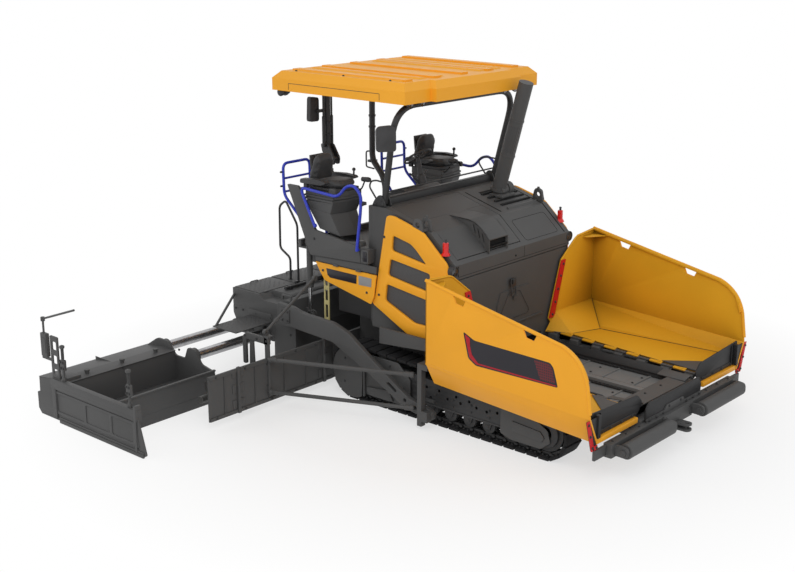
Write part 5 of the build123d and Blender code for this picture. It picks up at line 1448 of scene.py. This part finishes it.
def addScrew(side, low, high, steps=30):
    hub, rim, half = auger["shaft"] - 0.004, auger["radius"], auger["thick"]
    count = int((high - low) / auger["pitch"] * steps)
    rings = []
    for y in [low + (high - low) * step / count for step in range(count + 1)]:
        angle = side * 2 * math.pi * y / auger["pitch"]
        x, z = math.cos(angle), math.sin(angle)
        section = ((hub, -half), (rim, -half * 0.6), (rim, half * 0.6), (hub, half))
        rings.append([(auger["x"] + radius * x, side * (y + offset), auger["z"] + radius * z)
            for radius, offset in section])
    addSkin(rings)


for sideName, side in sides:
    addRod((auger["x"], side * 0.09, auger["z"]), (auger["x"], side * 2.93, auger["z"]), auger["shaft"], 28, 0.004)
    addScrew(side, auger["start"], auger["gap"][0])
    addScrew(side, auger["gap"][1], auger["end"])
    for y in (1.25, 2.46):
        addTurned((auger["x"], side * y, auger["z"]), (0, side, 0),
            [(0, 0.044), (0.004, 0.056), (0.026, 0.056), (0.03, 0.044)], 24)
    makePiece("augerScrew_" + sideName, "auger_" + sideName, "bare_steel", "auger_" + sideName)


# Tunnel walls: plates with hinge bars and pins, arch bracket with its step, round braces with ball ends
def makeTunnelWall():
    addBox((-1.16, -1.14), (0.641, 3.02), (0.1, 0.62), 0.004)
    addBox((-1.14, -1.12), (0.641, 1.1), (0.3, 0.62), 0.003)
    for y in (1.24, 2.58):
        addBox((-1.14, -1.112), (y, y + 0.04), (0.1, 0.64), 0.004)
        for z in (0.16, 0.34, 0.52):
            addRod((-1.118, y + 0.02, z), (-1.118, y + 0.02, z + 0.1), 0.014, 14)
            for across in (-0.035, 0.075):
                addBox((-1.14, -1.132), (y + across - 0.03, y + across + 0.03), (z, z + 0.1), 0.002)
    for z in (0.122, 0.598):
        addBox((-1.14, -1.13), (1.12, 3.01), (z - 0.02, z + 0.02), 0.003)
    for y in (1.55, 1.9, 2.35, 2.8):
        addBox((-1.14, -1.128), (y - 0.006, y + 0.006), (0.14, 0.58), 0.002)
    arch = [(-1.17, 0.16), (-1.11, 0.16), (-1.11, 0.83), (-1.14, 0.86), (-1.48, 0.86), (-1.54, 0.8), (-1.54, 0.48),
        (-1.48, 0.48), (-1.48, 0.78), (-1.17, 0.78)]
    addPierced([rounded(arch, 0.02)], "y", 2.13, 2.16, 0.004)
    addBox((-1.2, -1.11), (2.08, 2.16), (0.862, 0.88), 0.003)
    addBox((-1.18, -1.12), (2.11, 2.16), (0.78, 0.866), 0.003)
    hanger = [(-1.43, 0.785), (-1.37, 0.785), (-1.348, 0.235), (-1.372, 0.205), (-1.428, 0.205), (-1.452, 0.235)]
    addPierced([rounded(hanger, 0.015), circle(-1.4, 0.275, 0.0445)], "y", 2.13, 2.15, 0.003)
    for z in (0.606, 0.22):
        start, end = Vector((-1.15, 2.157, z)), Vector((0.458, 1.44, z))
        run = (end - start).normalized()
        addTube([start + run * 0.05, end - run * 0.06], 0.022, 0.01, 20, steps=1)
        for place, way in ((start + run * 0.07, 1), (end - run * 0.07, -1)):
            addTurned(place - run * way * 0.055, run * way, [(0, 0.01), (0.006, 0.026), (0.02, 0.034), (0.038, 0.034),
                (0.05, 0.027), (0.062, 0.031), (0.11, 0.031), (0.118, 0.023)], 22)
    makePiece("augerWall_*", "chassis", "dark_paint", "tunnel_wall_*")
    pairBolts("chassis", (1, 0, 0), *[(-1.128, y, z) for y in (1.4, 1.72, 2.1, 2.5, 2.92) for z in (0.122, 0.598)])
    pairBolts("chassis", (0, 1, 0), *[(x, 2.16, z) for x, z in ((-1.14, 0.82), (-1.3, 0.82), (-1.5, 0.82), (-1.14, 0.3),
        (-1.14, 0.55))])


makeTunnelWall()


def makeTieRods():
    with bothSides():
        start, end = Vector((-1.31, 1.212, 1.33)), Vector((-1.19, 2.125, 0.912))
        run = end - start
        addTube([start, end], 0.0165, 0.01, 16, steps=1)
        for share in (0.18, 0.76):
            addTurned(start.lerp(end, share), run, [(0, 0.017), (0.003, 0.024), (0.06, 0.024), (0.064, 0.017)], 6)
        for place in (start, end):
            addCollar(place - Vector((0.02, 0, 0)), (1, 0, 0), 0.01, 0.033, 0.04, 20)
        addBox((-1.34, -1.282), (1.191, 1.21), (1.3, 1.362), 0.004)
        addBox((-1.215, -1.16), (2.098, 2.145), (0.881, 0.892), 0.003)
    makePiece("tieRods", "chassis", "dark_paint", "tie_rods")


makeTieRods()


# Main screed: deck plates with hinges, end plates with guide collars, folding walkways and struts
screedLook = {"half": 1.25, "lids": ((0.03, 0.6), (0.64, 1.225))}


def makeMainScreed():
    under = [(-1.61, 0.06), (-1.63, 0.0), (-1.99, 0.0), (-1.99, 0.74), (-2.73, 0.74), (-2.73, 0.96), (-2.24, 0.96),
        (-2.16, 0.9), (-1.88, 0.9), (-1.84, 0.96), (-1.73, 0.96), (-1.61, 0.64)]
    addPierced([rounded(under, 0.01)], "y", -screedLook["half"], screedLook["half"], 0.006)
    addPierced([rounded([(-2.235, 0.878), (-2.235, 0.962), (-2.19, 0.985), (-1.89, 0.985), (-1.845, 0.962),
        (-1.845, 0.878)], 0.02)], "y", -1.06, 1.06, 0.006)
    with bothSides():
        for earY in (1.038, 1.166):
            ear = [(-1.64, 0.7), (-1.6, 0.7), (-1.448, 0.78), (-1.448, 0.85), (-1.5, 0.862), (-1.64, 0.87)]
            addPlate(rounded(ear, 0.025, 6), "y", earY, earY + 0.016, 0.003)
        addRod((-1.49, 1.03, 0.815), (-1.49, 1.188, 0.815), 0.022, 24, 0.003)
        addRod((-1.49, 1.18, 0.815), (-1.49, 1.192, 0.815), 0.034, 24, 0.003)
        endPlate = [(-1.99, 0.4), (-1.98, 0.745), (-2.73, 0.745), (-2.73, 0.64), (-2.6, 0.4)]
        addPierced([rounded(endPlate, 0.02), circle(-2.14, 0.48, 0.0608, 32)], "y", 1.22, 1.25, 0.005)
        for x in (-2.14, -2.66):
            addCollar((x, 1.246, 0.48), (0, 1, 0), 0.0612, 0.088, 0.034, ease=0.004)
        addBox((-2.44, -2.02), (1.25, 1.84), (0.641, 0.655), 0.004)
        addBox((-2.44, -2.02), (1.24, 1.262), (0.64, 0.745), 0.003)
        addRod((-2.708, 1.238, 0.88), (-2.412, 1.815, 0.648), 0.016, 16, 0.003)
        post = [(-1.848, 0.95), (-1.672, 0.95), (-1.672, 1.043), (-1.848, 1.043)]
        window = [(-1.82, 0.975), (-1.7, 0.975), (-1.7, 1.018), (-1.82, 1.018)]
        addPierced([rounded(post, 0.01), rounded(window, 0.006)], "y", 1.23, 1.25, 0.003)
        addTurned((-2.06, 1.56, 0.64), (0, 0, -1), [(0, 0.03), (0.004, 0.036), (0.03, 0.036), (0.034, 0.03)], 22)
    makePiece("screedBox", "screed", "dark_paint", "main_screed")
    with bothSides():
        for low, high in screedLook["lids"]:
            addBox((-2.715, -2.255), (low, high), (0.96, 0.968), 0.002)
            for y in (low + 0.1, high - 0.1):
                addRod((-2.25, y - 0.035, 0.966), (-2.25, y + 0.035, 0.966), 0.01, 12)
                addBox((-2.28, -2.252), (y - 0.03, y + 0.03), (0.966, 0.972), 0.001)
            near, far = (low + high) / 2 - 0.06, (low + high) / 2 + 0.06
            addTube([(-2.68, y, z) for y, z in ((near, 0.966), (near, 0.985), (far, 0.985), (far, 0.966))], 0.006, 0.01,
                8)
    makePiece("screedLids", "screed", "dark_paint")
    tread = []
    for side in (1, -1):
        for low, high in screedLook["lids"]:
            tread += treadPlaces(-2.69, -2.3, *sorted((side * (low + 0.01), side * (high - 0.01))), 0.968)
        tread += treadPlaces(-2.435, -2.025, *sorted((side * 1.27, side * 1.83)), 0.655)
    repeatItem("screedTread", treadItem, tread, "screed", "dark_paint")
    pairBolts("screed", (0, 1, 0), *[(x, 1.25, z) for x, z in ((-2.04, 0.7), (-2.3, 0.7), (-2.55, 0.7), (-2.68, 0.7),
        (-2.04, 0.45), (-1.7, 0.55), (-1.7, 0.2), (-1.92, 0.2))])
    pairBolts("screed", (0, 1, 0), *[(x, 1.284, 0.48 + dz) for x in (-2.14, -2.66) for dz in (-0.074, 0.074)])
    for y in (-0.7, 0.0, 0.7):
        addRod((-1.93, y, 0.975), (-1.93, y, 1.035), 0.026, 18)
        addRod((-1.93, y, 1.03), (-1.93, y, 1.05), 0.036, 6, 0.003)
        addRod((-2.15, y, 0.975), (-2.15, y, 1.035), 0.026, 18)
    addTube([(-2.06, -0.98, 1.01), (-2.06, 0.98, 1.01)], 0.02, 0.01, 16)
    for y in (-0.9, -0.3, 0.3, 0.9):
        addBox((-2.09, -2.03), (y - 0.02, y + 0.02), (0.98, 1.034), 0.004)
    makePiece("screedFittings", "screed", "black_paint")


makeMainScreed()


# Extensions: moulded boards on two chrome guide tubes, end gates with jack screws and the sensor arm
def makeExtension():
    body = "extension_*"
    inner, outer = 2.4, 3.925
    section = [(-1.76, 0.4), (-1.76, 0.06), (-1.785, 0.0), (-2.985, 0.0), (-3.04, 0.06), (-3.04, 0.25), (-2.99, 0.25),
        (-2.985, 0.435), (-2.64, 0.48), (-2.47, 0.47), (-2.44, 0.34), (-2.44, 0.13), (-1.785, 0.13), (-1.785, 0.4)]
    addPierced([section], "y", inner, outer, 0.003)
    innerPlate = rounded([(-1.76, 0.06), (-2.99, 0.06), (-2.99, 0.435), (-2.77, 0.575), (-2.56, 0.575), (-2.45, 0.43),
        (-2.27, 0.43), (-2.21, 0.575), (-2.07, 0.575), (-1.98, 0.42), (-1.76, 0.38)], 0.03)
    addPlate(innerPlate, "y", inner - 0.001, inner + 0.025, 0.002)
    addBox((-1.775, -1.745), (inner, outer), (0.385, 0.404), 0.004)
    addPlate([(-2.985, 0.437), (-2.64, 0.482), (-2.466, 0.474), (-2.452, 0.484), (-2.65, 0.492), (-2.99, 0.447)], "y",
        inner, outer, 0.002)
    addBox((-2.985, -2.455), (3.16, 3.163), (0.44, 0.487), 0.0)
    addBox((-2.68, -2.5), (3.7, 3.88), (0.47, 0.52), 0.008)
    for x in (-2.14, -2.66):
        addCollar((x, inner, 0.48), (0, -1, 0), 0.062, 0.094, 0.04, ease=0.004)
    for y in (2.62, 3.1, 3.58):
        addRod((-2.56, y, 0.468), (-2.56, y, 0.52), 0.024, 18, 0.003)
        addRod((-2.56, y, 0.515), (-2.56, y, 0.535), 0.034, 6, 0.003)
    addBox((-1.7615, -1.7585), (2.45, 3.88), (0.135, 0.14), 0.001)
    makePiece("extensionBoard_*", body, "dark_paint", "extension_*")
    for x in (-2.14, -2.66):
        addRod((x, 1.08, 0.48), (x, 2.42, 0.48), 0.06, 36, 0.004)
    makePiece("guideTubes_*", body, "chrome_rod")
    pairBolts(body, (0, -1, 0), *[(x, inner, z) for x, z in ((-1.85, 0.12), (-1.85, 0.36), (-2.4, 0.5), (-2.9, 0.12),
        (-2.9, 0.38), (-2.4, 0.12))])
    gate = [(-2.7, 0.4), (-2.7, 0.06), (-2.5, 0.0), (-1.12, 0.0), (-1.04, 0.04), (-1.15, 0.4), (-1.19, 0.47),
        (-2.7, 0.47)]
    addPierced([rounded(gate, 0.02)], "y", 3.94, 3.96, 0.005)
    addBox((-2.68, -1.19), (outer, 3.94), (0.4, 0.49), 0.003)
    addBox((-2.56, -1.075), (3.955, 3.978), (0.01, 0.05), 0.004)
    addBox((-2.56, -1.075), (3.955, 3.97), (0.05, 0.075), 0.004)
    addBox((-2.69, -1.18), (3.925, 3.974), (0.392, 0.474), 0.005)
    addBox((-2.7, -1.16), (3.905, 3.976), (0.44, 0.512), 0.008)
    addBox((-1.2, -1.165), (3.9, 3.978), (0.385, 0.56), 0.005)
    rim = rounded([(-2.64, 0.105), (-1.15, 0.105), (-1.19, 0.375), (-2.64, 0.375)], 0.012)
    panes = [rounded([(low, 0.14), (high, 0.14), (high, 0.345), (low, 0.345)], 0.02)
        for low, high in ((-2.6, -2.1), (-2.06, -1.64), (-1.6, -1.24))]
    addPierced([rim] + panes, "y", 3.957, 3.968, 0.004)
    for x in (-2.62, -1.19):
        addBox((x - 0.018, x + 0.018), (3.955, 3.976), (0.05, 0.395), 0.004)
    for x in (-2.47, -1.3):
        addRod((x, 3.938, 0.48), (x, 3.938, 0.9), 0.015, 18)
        for number in range(24):
            addTurned((x, 3.938, 0.77 + number * 0.005), (0, 0, 1),
                [(0, 0.015), (0.0012, 0.0175), (0.003, 0.0175), (0.0042, 0.015)], 14)
        addTurned((x, 3.938, 0.89), (0, 0, 1), [(0, 0.014), (0.004, 0.026), (0.02, 0.03), (0.032, 0.026), (0.04, 0.01)],
            22)
        addBox((x - 0.035, x + 0.035), (3.918, 3.955), (0.64, 0.76), 0.006)
        addBox((x - 0.024, x + 0.024), (3.922, 3.951), (0.486, 0.56), 0.004)
    plate = [(-2.68, 0.48), (-2.54, 0.48), (-2.54, 1.0), (-2.68, 1.0)]
    slots = [rounded([(-2.65, low), (-2.57, low), (-2.57, high), (-2.65, high)], 0.015)
        for low, high in ((0.56, 0.62), (0.68, 0.78), (0.84, 0.94))]
    addPierced([rounded(plate, 0.015)] + slots, "y", 3.928, 3.948, 0.003)
    addBox((-2.85, -2.68), (3.928, 3.948), (0.7, 0.73), 0.003)
    addBox((-2.85, -2.74), (3.908, 3.958), (0.73, 1.0), 0.01)
    addBox((-2.838, -2.752), (3.957, 3.962), (0.78, 0.95), 0.002)
    addTube([(-2.8, 3.938, 0.99), (-2.8, 3.938, 1.162), (-2.19, 3.938, 1.382)], 0.012, 0.05, 14)
    addTurned((-2.8, 3.938, 1.135), (0, 0, 1), [(0, 0.013), (0.003, 0.024), (0.047, 0.024), (0.05, 0.013)], 18)
    makePiece("endGate_*", body, "dark_paint", "end_gate_*")
    pairBolts(body, (0, 1, 0), *[(x, 3.96, 0.435) for x in (-2.6, -2.2, -1.8, -1.4)])
    pairBolts(body, (0, 1, 0), *[(x, 3.955, z) for x in (-2.49, -2.45, -1.32, -1.28) for z in (0.665, 0.735)])


makeExtension()
bpy.data.objects.remove(treadItem)
print("screed made")


# Bolt heads, one repeat for each body
def makeBolts():
    addTurned((0, 0, -0.001), (0, 0, 1), [(0, 0.0155), (0.0035, 0.0155), (0.004, 0.0145)], 18)
    addTurned((0, 0, 0.002), (0, 0, 1), [(0, 0.0112), (0.0075, 0.0112), (0.01, 0.0092)], 6)
    head = makeItem("boltItem")
    for body, places in boltPlaces.items():
        repeatItem("bolts_" + body, head, places, body, "cast_steel")
        print("bolts on", body, len(places))
    bpy.data.objects.remove(head)


makeBolts()


# Floor and light: the eye, metal and glass see a plain white ground and backdrop
def whiteRays(tree):
    path = addNode(tree, "ShaderNodeLightPath", {}).outputs
    both = addMath(tree, "MAXIMUM", path["Is Camera Ray"], path["Is Glossy Ray"])
    return addMath(tree, "MAXIMUM", both, path["Is Transmission Ray"])


def makeStage():
    reach = 60.0
    mesh = bpy.data.meshes.new("floor")
    mesh.from_pydata([(x, y, 0) for x, y in box(-reach, reach, -reach, reach)], [], [(0, 1, 2, 3)])
    floor = newObject("floor", mesh)
    floor.location.z = -0.001
    material, tree, place = newMaterial("paleFloor")
    mesh.materials.append(material)
    lit = {"Base Color": (*viewSettings["floorColour"], 1.0), "Roughness": 0.9}
    shader = feed(tree, tree.nodes["Principled BSDF"], lit)
    away = addNode(tree, "ShaderNodeVectorMath", {0: place}, operation="LENGTH")
    levels = {"Value": away, "From Min": 2.6, "From Max": 5.2, "To Min": 0.62, "To Max": 1.0}
    seen = addMath(tree, "MULTIPLY", whiteRays(tree), addNode(tree, "ShaderNodeMapRange", levels))
    plain = addNode(tree, "ShaderNodeEmission", {"Strength": 1.0})
    swap = addNode(tree, "ShaderNodeMixShader", {"Fac": seen, 1: shader, 2: plain})
    feed(tree, tree.nodes["Material Output"], {"Surface": swap})
    world = bpy.data.worlds.new("studio")
    bpy.context.scene.world = world
    world.use_nodes = True
    tree, white = world.node_tree, (1.0, 1.0, 1.0, 1.0)
    ambient = feed(tree, tree.nodes["Background"], {"Color": white, "Strength": viewSettings["worldStrength"]})
    backdrop = addNode(tree, "ShaderNodeBackground", {"Color": white, "Strength": 1.0})
    swap = addNode(tree, "ShaderNodeMixShader", {"Fac": whiteRays(tree), 1: ambient, 2: backdrop})
    feed(tree, tree.nodes["World Output"], {"Surface": swap})
    for lampName, energy, size, place in (
        ("keyLamp", viewSettings["keyEnergy"], 6.0, (7.0, -9.0, 11.0)),
        ("fillLamp", viewSettings["fillEnergy"], 8.0, (-9.0, -10.0, 7.0)),
    ):
        lampData = bpy.data.lights.new(lampName, "AREA")
        lampData.energy = energy
        lampData.size = size
        lamp = newObject(lampName, lampData)
        lamp.location = place
        lamp.rotation_euler = (Vector((0.0, 0.0, 1.0)) - Vector(place)).to_track_quat("-Z", "Y").to_euler()


makeStage()
bpy.context.scene.view_settings.view_transform = "Standard"
